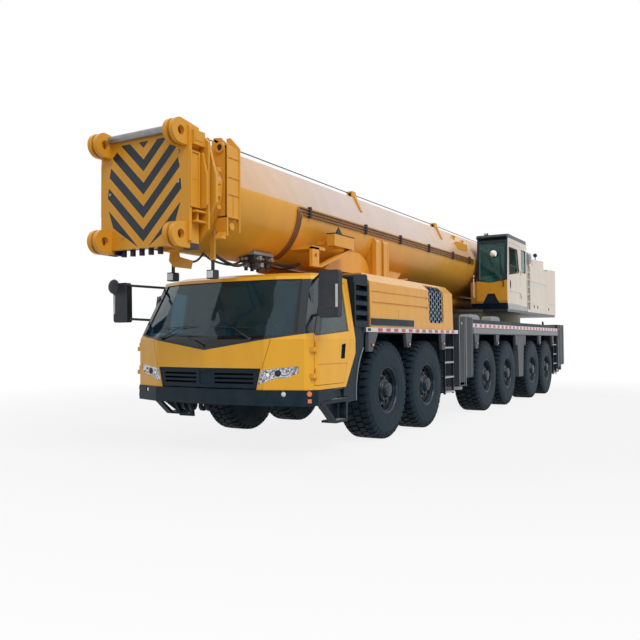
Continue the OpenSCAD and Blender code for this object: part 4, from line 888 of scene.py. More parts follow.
# %% Rubber and wheel paint
rubber, tree, shader, place, xyz = start_finish("tyre_rubber")
parts = add_node(tree, "ShaderNodeSeparateXYZ", Vector=place)
radius = calc(tree, "SQRT", calc(tree, "ADD", calc(tree, "MULTIPLY", parts.outputs[0], parts.outputs[0]),
    calc(tree, "MULTIPLY", parts.outputs[2], parts.outputs[2])))
dusty = speckle(tree, place, 9.0, 6.0)
worn = calc(tree, "MULTIPLY", ramp(tree, radius, 0.60, 0.68, 1.0, 0.25),
    ramp(tree, dusty, 0.3, 0.7, 0.55, 1.0))
feed(tree, shader.inputs["Base Color"], blend(tree, worn, (0.003, 0.011, 0.019), (0.018, 0.034, 0.046)))
feed(tree, shader.inputs["Roughness"], ramp(tree, dusty, 0.3, 0.7, 0.62, 0.82))
shader.inputs["Specular IOR Level"].default_value = 0.20
rings = add_node(tree, "ShaderNodeTexWave",
    Vector=add_node(tree, "ShaderNodeCombineXYZ", X=radius).outputs[0], Scale=26.0, Distortion=0.0)
rubber_bump = add_node(tree, "ShaderNodeBump", Strength=0.3, Distance=0.003,
    Height=calc(tree, "ADD", calc(tree, "MULTIPLY", rings.outputs["Fac"], 0.5), dusty))
feed(tree, shader.inputs["Normal"], rubber_bump.outputs[0])
rim_paint = painted("rim_paint", (0.007, 0.020, 0.034), roughness=0.40, coat=0.3, dust=0.10, round_edge=0.003,
    shine=0.2)
nut_steel = bare_metal("nut_steel", (0.20, 0.185, 0.175), 0.5)

# %% Put the twelve wheels on
wheel_shared = None
for axle in range(1, 7):
    for side, way in (("left", 1), ("right", -1)):
        node = f"wheel_{axle}_{side}"
        low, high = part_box(node)
        centre = Vector(((low.x + high.x) / 2, way * (HALF_W - HALF_TYRE), TYRE_R))
        if wheel_shared is None:
            wheel = build(f"dressed_{node}", tyre_shapes + rim_shapes, node, [rubber, rim_paint, nut_steel],
                origin=centre)
            wheel_shared = wheel.data
        else:
            wheel = bpy.data.objects.new(f"dressed_{node}", wheel_shared)
            wheel.location = centre
            wheel.rotation_euler = (0, 0, 0 if way > 0 else math.pi)
            bpy.context.scene.collection.objects.link(wheel)
            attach(wheel, node)
        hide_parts(node)
print("wheel faces", len(wheel_shared.polygons))

# %% [markdown]
# ## Small finishes
# Lamps, reflective tape and pale edge strips each need a plain finish of their own: tape is a
# glass-beaded film, lamp lenses are coloured clear plastic, and hoses are smooth rubber. On
# the leg boxes the pale edge strips are painted highlight.

# %% Tape, lenses and hoses


def plain(name, colour, roughness=0.4, coat=0.0, metallic=0.0):
    """A simple finish with a little cloudy wear."""
    made, tree, shader, place, xyz = start_finish(name)
    cloud = ramp(tree, speckle(tree, place, 14.0, 4.0), 0.35, 0.75, 0.0, 0.22)
    feed(tree, shader.inputs["Base Color"], blend(tree, cloud, colour, tuple(c * 0.55 for c in colour)))
    feed(tree, shader.inputs["Roughness"], ramp(tree, cloud, 0.0, 0.22, roughness, roughness + 0.15))
    shader.inputs["Coat Weight"].default_value = coat
    shader.inputs["Metallic"].default_value = metallic
    return made


white_tape = plain("white_tape", (0.72, 0.68, 0.70), 0.35, 0.3)
red_tape = plain("red_tape", (0.50, 0.035, 0.045), 0.35, 0.3)
amber_lens = plain("amber_lens", (0.85, 0.22, 0.03), 0.15, 1.0)
white_lens = plain("white_lens", (0.80, 0.82, 0.82), 0.10, 1.0)
red_lens = plain("red_lens", (0.40, 0.02, 0.02), 0.15, 1.0)
hose_rubber = plain("hose_rubber", (0.012, 0.014, 0.018), 0.38)
pale_steel = plain("pale_steel", (0.30, 0.30, 0.31), 0.35, 0.0, 0.6)
# pale grey for edge strips and rails; on the leg boxes it is painted highlight
edge_grey = plain("edge_grey", (0.20, 0.215, 0.23), 0.45)
mirror_glass = plain("mirror_glass", (0.85, 0.88, 0.90), 0.04, 0.0, 1.0)
# painted shade: dark blue for the sheet behind the honeycomb that stands for the engine bay's shade
bay_shade_blue = plain("bay_shade_blue", (0.020, 0.050, 0.105), 0.5)
curtain_cloth = plain("curtain_cloth", (0.62, 0.68, 0.66), 0.9)
# painted shade: a dark copy of the curtain cloth for every other pleat
curtain_pleat_shade = plain("curtain_pleat_shade", (0.10, 0.13, 0.14), 0.9)
rope_steel = plain("rope_steel", (0.10, 0.095, 0.085), 0.5, 0.0, 0.5)
pipe_brown = plain("pipe_brown", (0.20, 0.075, 0.020), 0.4, 0.3)
print("small finishes ready")

# %% [markdown]
# A round lamp or a plate often sits on a slanting panel. It is modelled facing forward
# at the origin, then turned about the vertical and carried to its place.

# %% Turn a shape and carry it to its place


def faced(shapes, where, yaw=0.0, tilt=0.0):
    """Shapes modelled facing +x at the origin, turned by yaw and tilt and moved to where."""
    turn = Matrix.Rotation(math.radians(yaw), 4, "Z") @ Matrix.Rotation(math.radians(-tilt), 4, "Y")
    carry = Matrix.Translation(where) @ turn
    return [([tuple(carry @ Vector(p)) for p in shape[0]], *shape[1:]) for shape in shapes]


def lens(radius, depth, number=0, rim=0.0):
    """A domed round lens facing +x, with an optional dark rim (finish number 0)."""
    dome = turned([(0, radius), (depth * 0.6, radius * 0.8), (depth, radius * 0.35), (depth, 0)], (0, 0, 0),
        "x", 20)
    shapes = [(*dome, number)]
    if rim:
        ring = [(-0.004, radius + rim), (depth * 0.7, radius + rim), (depth * 0.8, radius), (0, radius)]
        shapes.append((*turned(ring, (0, 0, 0), "x", 24, capped=False), 0))
    return shapes


def flipped(shapes):
    """The shapes' copies on the right side, finish numbers kept."""
    return [([(x, -y, z) for x, y, z in shape[0]], *shape[1:]) for shape in shapes]


def as_drawn(shapes):
    """The shapes as they are, for the left side."""
    return shapes


BOTH_SIDES = (("left", as_drawn), ("right", flipped))

# %% [markdown]
# ## Road cab
# The head lamps lie in the swept corners: a chrome reflector, a dark projector with its
# lens, an amber turn lamp and a strip of white light. Fog lamps sit in the bumper's
# bores. Two amber side lamps sit on each bumper corner.

# %% Lamps of the road cab
CORNER_YAW = 20.4
silver_mosaic, tree, shader, place, xyz = start_finish("lamp_reflector")
cells = add_node(tree, "ShaderNodeTexVoronoi", Vector=place, Scale=38.0)
feed(tree, shader.inputs["Base Color"], blend(tree, ramp(tree, cells.outputs["Distance"], 0.1, 0.7),
    (0.86, 0.88, 0.90), (0.10, 0.12, 0.15)))
feed(tree, shader.inputs["Metallic"], 0.7)
feed(tree, shader.inputs["Roughness"], 0.18)
shader.inputs["Coat Weight"].default_value = 1.0
facets = add_node(tree, "ShaderNodeBump", Strength=0.5, Distance=0.01, Height=cells.outputs["Distance"])
feed(tree, shader.inputs["Normal"], facets.outputs[0])
nodes["headlamps"].data.materials[0] = silver_mosaic


def on_corner(shapes, y, z):
    """Shapes set on the lamp's face, which slants back towards the cab's side."""
    return faced(shapes, (2.425 - (y - 0.9) * 0.371 - 0.004, y, z), CORNER_YAW)


lamp_shapes = on_corner(lens(0.030, 0.012, 0, 0.010), 1.07, 1.070)
lamp_shapes += on_corner(lens(0.028, 0.005, 1, 0.003), 0.945, 1.050)
lamp_shapes += on_corner(lens(0.014, 0.008, 3, 0.002), 1.185, 1.100)
lamp_shapes += on_corner(lens(0.010, 0.006, 3, 0.002), 1.245, 1.062)
bar_path = [(0.006, -0.13, -0.062), (0.006, -0.02, -0.028), (0.006, 0.10, -0.020), (0.006, 0.16, 0.0)]
lamp_shapes += on_corner([(*sweep(bar_path, 0.006, 8), 2)], 1.07, 1.05)
for side, shapes in (("left", lamp_shapes), ("right", flipped(lamp_shapes))):
    build(f"headlamp_optics_{side}", shapes, "carrier", [black_plastic, lamp_silver, white_lens, amber_lens])

fog_shapes = faced(lens(0.033, 0.010, 1, 0.008), (2.338, 1.14, 0.81), CORNER_YAW)
side_lamps = faced([(*turned([(0, 0.036), (0.012, 0.030), (0.016, 0)], (0, 0, 0), "x", 20), 2)],
    (2.196, 1.431, 0.812), 55)
side_lamps += faced([(*box(0, 0.012, -0.026, 0.026, -0.024, 0.024), 2)], (2.196, 1.431, 0.724), 55)
for side, shapes in (("left", fog_shapes + side_lamps), ("right", flipped(fog_shapes + side_lamps))):
    build(f"bumper_lamps_{side}", shapes, "carrier", [black_plastic, white_lens, amber_lens], bevel=0.002)

# %% [markdown]
# Three wipers are parked along the foot of the windscreen. Their places are worked out
# on the screen's slanting plane, so that the blades lie on the glass.

# %% Wipers of the road cab


def on_screen(y, z, off):
    """A point on the windscreen, off metres in front of it."""
    return (2.500 - 0.482 * (z - 1.5) - 0.0833 * abs(y) + off, y, z)


wiper_shapes = []
for pivot in (-0.80, -0.05, 0.70):
    foot_z = 1.405 + 0.148 * abs(pivot)
    lean = -1 if pivot > -0.5 else 1
    arm = [on_screen(pivot, foot_z, 0.010), on_screen(pivot + 0.14 * lean, foot_z + 0.07, 0.026),
        on_screen(pivot + 0.30 * lean, foot_z + 0.15, 0.020)]
    wiper_shapes += [sweep(arm, [0.010, 0.008, 0.005], 8),
        rod(on_screen(pivot, foot_z, -0.004), on_screen(pivot, foot_z, 0.03), 0.02)]
    blade = [on_screen(pivot + (0.30 + t) * lean, foot_z + 0.15 + 0.04 * t,
        0.008 + 0.008 * (1 - (t / 0.34) ** 2)) for t in (-0.34, -0.2, 0, 0.2, 0.34)]
    wiper_shapes.append(sweep(blade, [0.003, 0.005, 0.006, 0.005, 0.003], 6))
build("windscreen_wipers", wiper_shapes, "carrier", black_plastic)

# %% [markdown]
# Between the cab's rear corner and the first wheel a dark mudguard closes the side. Its
# rear edge is an arc about the axle, wide enough for the steered tyre. Steps with bright
# edges hang below the door.

# %% Mudguards
GUARD_R = 1.000
guard = [(0.7503, 1.70), (1.06, 1.70), (1.06, 1.31), (1.355, 0.848), (1.355, 0.722), (1.24, 0.722),
    (1.24, 0.64)]
arc = [(GUARD_R * math.cos(math.radians(a)), TYRE_R + GUARD_R * math.sin(math.radians(a)))
    for a in range(-5, 41, 5)]
guard_shapes = [(*prism(guard + [p for p in arc if p[0] > 0.75] + [(0.7503, 1.48)], "y", 1.40, 1.462), 0)]
edge = [(x, 1.463, z) for x, z in arc if x > 0.75]
guard_shapes.append((*sweep(edge, 0.012, 6), 1))
for side, flip in BOTH_SIDES:
    build(f"mudguard_{side}", flip(guard_shapes), "carrier", [charcoal_paint, edge_grey], bevel=0.003)

# %% [markdown]
# Below the door the bumper's skirt runs back to the mudguard, with two treads in it.

# %% Skirt and treads below the door
skirt = [(2.09, 0.848), (1.36, 0.848), (1.36, 0.722), (1.50, 0.722), (1.62, 0.655), (2.05, 0.655)]
step_panel = [(1.84, 0.655), (1.80, 0.60), (1.47, 0.400), (1.20, 0.400), (1.20, 0.655)]
skirt_shapes = [(*prism(skirt, "y", 1.38, 1.435), 0), (*prism(step_panel, "y", 1.33, 1.345), 0),
    (*box(1.36, 2.00, 1.435, 1.455, 0.835, 0.848), 1), (*box(1.50, 1.98, 1.30, 1.450, 0.700, 0.716), 1)]
for side, flip in BOTH_SIDES:
    build(f"door_skirt_{side}", flip(skirt_shapes), "carrier", [charcoal_paint, edge_grey], bevel=0.002)

# %% [markdown]
# The mirror housings carry a white strip on their front face and silvered glass behind.
# A pleated curtain hangs inside each side window, as cab crews fit for their rest; every
# other pleat takes a darker copy of the cloth, a painted shade.

# %% Mirrors and curtains
MIRROR_FRONT = 2.280
mirror_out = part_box("mirrors")[1].y
strip = box(MIRROR_FRONT - 0.002, MIRROR_FRONT + 0.004, mirror_out - 0.044, mirror_out - 0.012, 1.885, 2.165)
glass = box(MIRROR_FRONT - 0.1035, MIRROR_FRONT - 0.099, mirror_out - 0.195, mirror_out - 0.030, 1.80, 2.30)
seal_line = box(MIRROR_FRONT - 0.004, MIRROR_FRONT + 0.002, mirror_out - 0.200, mirror_out - 0.020, 1.868,
    1.874)
for side, flip in BOTH_SIDES:
    shapes = [(*strip, 0), (*glass, 1), (*seal_line, 2)]
    build(f"mirror_faces_{side}", flip(shapes), "carrier", [white_tape, mirror_glass, hose_rubber],
        bevel=0.0015)

PLEATS = 15
curtain_points, curtain_faces = [], []
for k in range(PLEATS):
    x = 1.62 + 0.026 * k
    fold = 0.012 if k % 2 else -0.012
    top = min(2.225, 2.60 - 0.24 * (x - 1.62) - 0.38)
    curtain_points += [(x, 1.405 + fold, 1.60), (x, 1.405 - (top - 1.6) * 0.157 + fold, top)]
    if k:
        a = 2 * k - 2
        curtain_faces.append((a, a + 1, a + 3, a + 2))
# painted shade: every other pleat face takes the dark copy of the cloth
curtain = [(curtain_points, curtain_faces[0::2], 0), (curtain_points, curtain_faces[1::2], 1)]
for side, flip in BOTH_SIDES:
    build(f"cab_curtain_{side}", flip(curtain), "carrier", [curtain_cloth, curtain_pleat_shade])
print("mirror reach", round(mirror_out, 3))

# %% [markdown]
# ## Tape, plates and lamps along the sides
# Red and white reflective tape runs along both deck edges, as the rules for long
# vehicles ask. A blank dark plate sits low on the engine cover. Small amber lamps stand
# on the fender brackets. On the leg boxes pale strips paint the highlights along the folded
# edges, and a black patch paints the shade in a slot.

# %% Tape along the decks
TAPE_OUT = 0.0018


def taped(x_back, x_front, z_low, z_high, first, pitch, length):
    """White tape along the left deck edge with red blocks at an even pitch."""
    shapes = [(*box(x_back, x_front, HALF_W - 0.001, HALF_W + TAPE_OUT, z_low, z_high), 0)]
    count = int((first - x_back) / pitch)
    for k in range(count):
        x = first - k * pitch
        shapes.append((*box(x - length, x, HALF_W, HALF_W + 2 * TAPE_OUT, z_low + 0.008, z_high - 0.008), 1))
    return shapes


front_tape = taped(-3.10, 0.745, 1.602, 1.668, 0.36, 0.283, 0.15)
front_tape.append((*box(0.60, 0.70, HALF_W, HALF_W + 2 * TAPE_OUT, 1.615, 1.655), 2))
rear_tape = taped(-11.70, -3.99, 1.735, 1.815, -4.10, 0.315, 0.15)
rail = box(-11.70, -3.99, HALF_W - 0.001, HALF_W + 0.012, 1.612, 1.722)
for side, flip in BOTH_SIDES:
    build(f"deck_tape_front_{side}", flip(front_tape), "carrier", [white_tape, red_tape, black_plastic])
    build(f"deck_tape_rear_{side}", flip(rear_tape), "carrier", [white_tape, red_tape])
    build(f"deck_rail_{side}", flip([rail]), "carrier", edge_grey, bevel=0.003)
print("red blocks", sum(1 for s in front_tape + rear_tape if s[2] == 1))

# %% Plates, bracket lamps, and leg box strips of painted highlight and shade
hood_plate = box(-1.03, 0.545, 1.470, 1.486, 1.698, 1.806)
plate_rim = [box(-1.03, 0.545, 1.480, 1.489, z, z + 0.006) for z in (1.698, 1.800)]
bracket_x = (0.545, -0.79, -2.34, -4.25, -5.70, -9.57, -11.12)
bracket_lamps = []
for x in bracket_x:
    bracket_lamps += [(*box(x - 0.035, x + 0.035, HALF_W - 0.008, HALF_W + 0.004, 1.395, 1.435), 0),
                      (*box(x - 0.026, x + 0.026, HALF_W, HALF_W + 0.014, 1.402, 1.430), 1)]
for side, flip in BOTH_SIDES:
    build(f"hood_plate_{side}", flip([(*hood_plate, 0)] + [(*r, 1) for r in plate_rim]), "carrier",
        [charcoal_paint, edge_grey], bevel=0.002)
    build(f"bracket_lamps_{side}", flip(bracket_lamps), "carrier", [black_plastic, amber_lens], bevel=0.002)


def column_edge_highlights(x_low, x_high, z_low, z_high, slot):
    """Pale strips that paint the highlights on a leg column's folded edges, and where slot is set a black
    patch that paints the shade in a slot and a round boss, all on the outer face of a column on the left.
    """
    # painted highlight: pale strips along both folded edges and one fold line
    shapes = [(*box(x, x + 0.022, HALF_W - 0.002, HALF_W + 0.010, z_low, z_high), 0)
        for x in (x_low, x_high - 0.022)]
    middle = (x_low + x_high) / 2
    shapes.append((*box(middle - 0.11, middle - 0.098, HALF_W - 0.002, HALF_W + 0.006, z_low, z_high), 0))
    # painted shade: a black patch stands for the shade in the slot
    if slot:
        shapes.append((*box(middle + 0.02, middle + 0.07, HALF_W - 0.002, HALF_W + 0.004, 1.50, 1.68), 1))
        shapes.append((*turned([(HALF_W, 0.030), (HALF_W + 0.012, 0.026), (HALF_W + 0.012, 0)],
            (middle + 0.05, 0, 1.80), "y", 16), 2))
    return shapes


BEAM_END_FOOT = 0.60
COVER_FOOT = 0.78
COLUMN_STEP = 0.405
trim_finish = [edge_grey, black_plastic, pale_steel, grey_paint]
for place_name in ("front", "rear"):
    for side, flip in BOTH_SIDES:
        body = f"beam_{place_name}_{side}"
        box_low, box_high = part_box(body)
        own = (box_low.x - AXLE_X, box_high.x - AXLE_X)
        lower = (*box(own[0], own[1], HALF_W - 0.012, HALF_W, BEAM_END_FOOT, box_low.z + 0.05), 3)
        trim = column_edge_highlights(own[0], own[1], BEAM_END_FOOT, box_high.z - 0.01, True) + [lower]
        build(f"leg_edge_highlights_{place_name}_{side}", flip(trim), body, trim_finish)
        step_over = -COLUMN_STEP if side == "left" else COLUMN_STEP
        still = (own[0] + step_over, own[1] + step_over)
        cover = column_edge_highlights(still[0], still[1], COVER_FOOT, box_high.z - 0.01, False)
        build(f"leg_cover_{place_name}_{side}", flip(cover), "carrier", trim_finish)

# %% [markdown]
# Behind the honeycomb a dark blue sheet paints the engine bay's shade. The slewing ring
# shows a row of bolt holes below the platform, their shade painted as dark studs, and the
# rear has its lamps and a tow hook.

# %% Engine bay shade sheet, shade in the ring's bolt holes and rear lamps
(ring_low, ring_high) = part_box("slewing_ring")
RING_X = (ring_low.x + ring_high.x) / 2 - AXLE_X
RING_R = (ring_high.x - ring_low.x) / 2
# painted shade: a dark blue sheet behind the honeycomb stands for the shade in the engine bay
bay_shade_sheet = box(-2.41, -1.73, 1.385, 1.40, 1.78, 2.33)
for side, flip in BOTH_SIDES:
    build(f"engine_bay_shade_{side}", flip([bay_shade_sheet]), "carrier", bay_shade_blue)
# painted shade: small dark studs stand for the shade in the slewing ring's bolt holes
hole_shade_studs = []
RING_HOLES = 84
for k in range(RING_HOLES):
    turn = 2 * math.pi * k / RING_HOLES
    hole_shade_studs += faced([turned([(-0.004, 0.020), (0.006, 0.019), (0.006, 0)], (0, 0, 0), "x", 6)],
                         (RING_X + RING_R * math.cos(turn), RING_R * math.sin(turn), 2.105),
                         math.degrees(turn))
build("ring_hole_shade", hole_shade_studs, "carrier", hose_rubber)
rear_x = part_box("outrigger_boxes")[0].x - AXLE_X
tail_shapes = []
for k, number in ((0, 1), (1, 2), (2, 1)):
    tail_shapes.append((*box(rear_x - 0.001, rear_x + 0.012, 1.08 + 0.11 * k, 1.175 + 0.11 * k, 1.15, 1.27),
        number))
for side, flip in BOTH_SIDES:
    build(f"tail_lamps_{side}", flip(tail_shapes), "carrier", [black_plastic, red_lens, amber_lens],
        bevel=0.002)
hook_path = curved([(-11.05, 1.25, 1.90), (-11.04, 1.25, 1.97), (-11.00, 1.25, 2.00), (-10.95, 1.25, 1.97),
    (-10.97, 1.25, 1.93)], 5)
build("deck_hooks", mirrored([sweep(hook_path, 0.018, 8)]), "carrier", hose_rubber)

# %% [markdown]
# ## Boom shapes
# Each boom section is a folded steel tube: a flat top, two shoulders that slope down to a
# seam, and a round belly. The base section carries boxed lugs on each side of its mouth,
# a stowage box, and the lift cylinder's box below. The next sections end in a smooth ring
# and a six-sided flange. They are drawn anew here, finer than the plain solids.

# %% The boom's section
BOOM_HALF = 0.720
BOOM_MID = 3.320
BOOM_RISE = 0.580
BOOM_WALL = 0.022
BOOM_MOUTH = 3.030
SECTION_STEP = 0.035
SEAM_UP = 0.080
PIVOT_X = RING_X - 2.965
PIVOT_Z = 3.100
LIFT_EYE = PIVOT_X + 7.4
TAIL_X = PIVOT_X + 1.3
BELLY = BOOM_MID - BOOM_HALF


def boom_outline(half, rise):
    """Round belly, a short upright seam, sloping shoulders and a flat top, as (y, z)."""
    belly = [(-half * math.cos(math.pi * k / 40), BOOM_MID - half * math.sin(math.pi * k / 40))
        for k in range(41)]
    top = [(half, BOOM_MID + SEAM_UP), (half * 0.66, BOOM_MID + rise), (-half * 0.66, BOOM_MID + rise),
        (-half, BOOM_MID + SEAM_UP)]
    return belly + top


def boom_tube(number, back, front):
    """Section number of the telescope; each is smaller by its wall and its gap."""
    half, rise = BOOM_HALF - number * SECTION_STEP, BOOM_RISE - number * SECTION_STEP
    return hollow(boom_outline(half, rise), boom_outline(half - BOOM_WALL, rise - BOOM_WALL), "x", back,
        front)


print("belly at", round(BELLY, 3), "pivot at", round(PIVOT_X, 3))

# %% [markdown]
# The mouth of the base section: on each side a box of plates with ribs, an eye in its
# front plate, and a small lug in the cut-out below.

# %% The mouth of the base section
MOUTH_BACK = 2.770
BOX_OUT = 0.786
mouth_side = [
    prism([(0.56, 3.90), (0.60, 3.945), (0.70, 3.935), (0.795, 3.845), (0.795, 2.735), (0.655, 2.765),
        (0.60, 2.88)], "x", BOOM_MOUTH - 0.025, BOOM_MOUTH),
    prism([(0.60, 3.80), (0.60, 3.995), (0.66, 3.995), (0.800, 3.845), (0.800, 2.80), (0.770, 2.80),
        (0.745, 2.97), (0.70, 3.2)], "x", MOUTH_BACK, MOUTH_BACK + 0.020),
    box(MOUTH_BACK, BOOM_MOUTH, BOX_OUT - 0.016, BOX_OUT, 2.975, 3.825),
    prism([(BOX_OUT, 3.825), (0.60, 3.935), (0.60, 3.90), (BOX_OUT - 0.016, 3.80)], "x", MOUTH_BACK,
        BOOM_MOUTH),
    box(MOUTH_BACK, BOOM_MOUTH, 0.655, 0.796, 2.966, 2.982),
    box(2.893, 2.905, BOX_OUT, 0.795, 2.98, 3.25),
    rod((2.905, 0.655, 2.865), (2.905, 0.775, 2.865), 0.045, 20),
    prism([(2.925, 3.895), (3.015, 3.895), (2.990, 3.985), (2.950, 3.985)], "y", 0.43, 0.46),
    prism([(BOOM_MOUTH, 2.70), (BOOM_MOUTH + 0.085, 2.70), (BOOM_MOUTH, 2.79)], "y", 0.655, 0.775),
    turned([(-0.004, 0.072), (0.020, 0.068), (0.020, 0.040), (0.0, 0.040)], (BOOM_MOUTH, 0.690, 3.815), "x",
        24, capped=False),
]
mouth_side += [box(MOUTH_BACK + 0.02, BOOM_MOUTH - 0.025, BOX_OUT, 0.796, z - 0.006, z + 0.006)
    for z in (3.25, 3.46, 3.70)]
print("mouth plates", len(mouth_side))

# %% [markdown]
# The stowage box hangs on the left side on two arms, with a post, a shelf and a strut.
# The tail narrows to the pivot and is lofted from cut sections of the same outline.

# %% Box, tail and lift box
rack = [
    hollow([(0.05, 0.82), (0.67, 0.82), (0.67, 0.95), (0.05, 0.95)],
        [(0.07, 0.84), (0.65, 0.84), (0.65, 0.93), (0.07, 0.93)], "z", 2.88, 3.06),
    box(0.06, 0.66, 0.83, 0.94, 2.882, 2.900),
    box(0.11, 0.15, 0.54, 0.825, 2.91, 2.97),
    box(0.57, 0.61, 0.54, 0.825, 2.91, 2.97),
    hollow(*bored([(1.03, 2.53), (1.22, 2.53), (1.22, 2.81), (1.03, 2.81)], (1.125, 2.69), 0.032), "y", 0.85,
        0.90),
    box(0.86, 1.22, 0.42, 0.90, 2.780, 2.825),
    prism([(-0.01, 2.93), (-0.04, 2.88), (0.98, 2.53), (1.08, 2.53)], "y", 0.83, 0.91),
]
tail = []
for k in range(11):
    x = PIVOT_X - 0.488 + k * (TAIL_X + 0.01 - PIVOT_X + 0.488) / 10
    if x < PIVOT_X:
        reach = math.sqrt(0.49 ** 2 - (x - PIVOT_X) ** 2)
        low, high = PIVOT_Z - reach, PIVOT_Z + reach
    else:
        share = (x - PIVOT_X) / (TAIL_X - PIVOT_X)
        low, high = PIVOT_Z - 0.5 + share * (BELLY - 2.6), 3.58 + share * 0.32
    tail.append((x, [(y * 0.998, min(max(z, low), high)) for y, z in boom_outline(BOOM_HALF, BOOM_RISE)]))
lift_front = LIFT_EYE + 2.58
lift_sides = [
    prism([(LIFT_EYE - 0.70, BELLY + 0.06), (LIFT_EYE - 0.18, 2.30), (LIFT_EYE + 0.13, 2.30),
        (LIFT_EYE + 0.225, 2.53), (LIFT_EYE + 1.50, 2.55), (LIFT_EYE + 1.90, BELLY + 0.06)], "y", 0.15, 0.21),
    prism([(lift_front, BELLY + 0.25), (lift_front, BELLY + 0.19), (lift_front - 0.73, BELLY + 0.01),
        (LIFT_EYE + 0.70, 2.53), (LIFT_EYE + 0.30, BELLY + 0.25)], "y", 0.44, 0.47),
    prism([(0.42, 2.575), (0.24, 2.70), (-0.06, 2.835), (-0.415, 2.935), (-0.735, 2.930), (-0.956, 2.850),
        (-1.07, 2.72), (-1.10, 2.585)], "y", 0.60, 0.64),
]
lift_plate = prism([(lift_front, BELLY + 0.19), (lift_front - 0.73, BELLY + 0.01),
    (lift_front - 0.71, BELLY - 0.015), (lift_front + 0.025, BELLY + 0.17)], "y", -0.47, 0.47)
GUIDE_X = (-0.88, -4.69)
guides = [hollow([(0.36, 3.89), (0.47, 3.89), (0.47, 4.01), (0.36, 4.01)],
    [(0.39, 3.92), (0.44, 3.92), (0.44, 3.985), (0.39, 3.985)], "x", x - 0.06, x + 0.06)
    for x in GUIDE_X]
upright = [(0.66, 3.20), (0.735, 3.22), (0.772, 3.17), (0.772, 2.585), (0.44, 2.585), (0.56, 2.80)]
pads = [prism(upright, "x", x - 0.085, x + 0.085) for x in (-1.19, -1.49)]
pads += [prism([(u + 0.006, w) for u, w in upright[1:4]] + [(0.70, 2.585), (0.70, 3.18)], "x", x - 0.018,
    x + 0.018) for x in (-1.275, -1.105, -1.575, -1.405)]
print("lift box from", round(LIFT_EYE - 0.7, 3), "to", round(lift_front, 3))

# %% Base section
WORK_LAMP_Y = (-0.13, 0.51)
base_shapes = [boom_tube(0, TAIL_X, BOOM_MOUTH), lofted(tail),
    lift_plate] + mirrored(mouth_side + pads + lift_sides) + rack + guides
base_shapes.append(rod((PIVOT_X, -0.885, PIVOT_Z), (PIVOT_X, 0.885, PIVOT_Z), 0.11, 28))
base_shapes += [box(-6.20, -5.52, 0.45, 0.66, 3.55, 3.70),
    prism([(0.40, 3.66), (0.52, 3.66), (0.58, 3.84), (0.50, 3.86)], "x", -5.62, -5.56)]
base_shapes.append(prism([(0.40, 3.66), (0.52, 3.66), (0.58, 3.80), (0.50, 3.82)], "x", -6.18, -6.12))
base_shapes += [box(2.925, 2.965, y - 0.03, y + 0.03, 2.47, 3.02) for y in WORK_LAMP_Y]
base_section = build("boom_base_section", base_shapes, "boom", boom_paint, bevel=0.004, smooth=28)
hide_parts("boom_base")
# painted shade: black discs inside the eyes on the mouth plates stand for the shade in their bores
bore_shade_discs = [rod((BOOM_MOUTH, y, 3.815), (BOOM_MOUTH + 0.004, y, 3.815), 0.040, 20) for y in (-0.69, 0.69)]
build("mouth_bore_shade", bore_shade_discs, "boom", black_plastic)

# %% [markdown]
# Inside the base section slide three more. The second ends in a smooth ring, the third
# in a six-sided flange, and the fourth carries the head.

# %% Second and third sections
RING_END = BOOM_MOUTH + 0.200
FLANGE_END = BOOM_MOUTH + 0.280
smooth_ring = hollow(boom_outline(BOOM_HALF + 0.015, BOOM_RISE + 0.005), boom_outline(0.664, 0.524), "x",
    BOOM_MOUTH + 0.010, RING_END)
second_shapes = [boom_tube(1, TAIL_X + 0.2, RING_END), smooth_ring]
second_shapes += mirrored([box(BOOM_MOUTH + 0.05, BOOM_MOUTH + 0.12, 0.730, 0.745, z, z + 0.05)
    for z in (3.05, 3.20, 3.35, 3.50)])
second = build("boom_second_section", second_shapes, "boom_section_2", boom_paint, bevel=0.003, smooth=28)
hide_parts("boom_section_2")
half_flange = [(0.52, BELLY + 0.02), (0.85, 3.09), (0.85, 3.41), (0.75, 3.75), (0.56, 3.92)]
flange = half_flange + [(-y, z) for y, z in half_flange[::-1]]
flange_hole = [(y * 0.745, BOOM_MID + (z - BOOM_MID) * 0.745) for y, z in flange]
third_shapes = [boom_tube(2, TAIL_X + 0.4, FLANGE_END),
    hollow(flange, flange_hole, "x", FLANGE_END - 0.04, FLANGE_END)]
third = build("boom_third_section", third_shapes, "boom_section_3", boom_paint, bevel=0.004, smooth=28)
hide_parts("boom_section_3")

# %% [markdown]
# The head is a welded box: an end flange, the sheave box, a chevron plate across the
# front, side boxes with a sunk panel, shelves, and four pairs of lugs with bored eyes.

# %% The head
HEAD_BACK = BOOM_MOUTH + 0.345
HEAD_FRONT = 3.610
LUG_X = 3.713
LUG_R = 0.147
LUG_BORE = 0.055
LUG_TOP = BOOM_MID + 0.540
LUG_LOW = BOOM_MID - 0.634


def cut_box(half, low, high, cut):
    """A box outline (y, z) with cut corners."""
    return [(-half + cut, low), (half - cut, low), (half, low + cut), (half, high - cut), (half - cut, high),
            (-half + cut, high), (-half, high - cut), (-half, low + cut)]


def head_lug(y, z, rise):
    """One lug plate: a round nose with a bore, and a root that spreads back to the flange."""
    back = HEAD_BACK + 0.03
    nose = [(LUG_X + LUG_R * math.sin(t), z - LUG_R * math.cos(t))
        for t in [math.pi * k / 24 for k in range(25)]]
    outer, inner = bored(nose + [(back, z + rise), (back, z - LUG_R)], (LUG_X, z), LUG_BORE)
    return hollow(outer, inner, "y", y, y + 0.056)


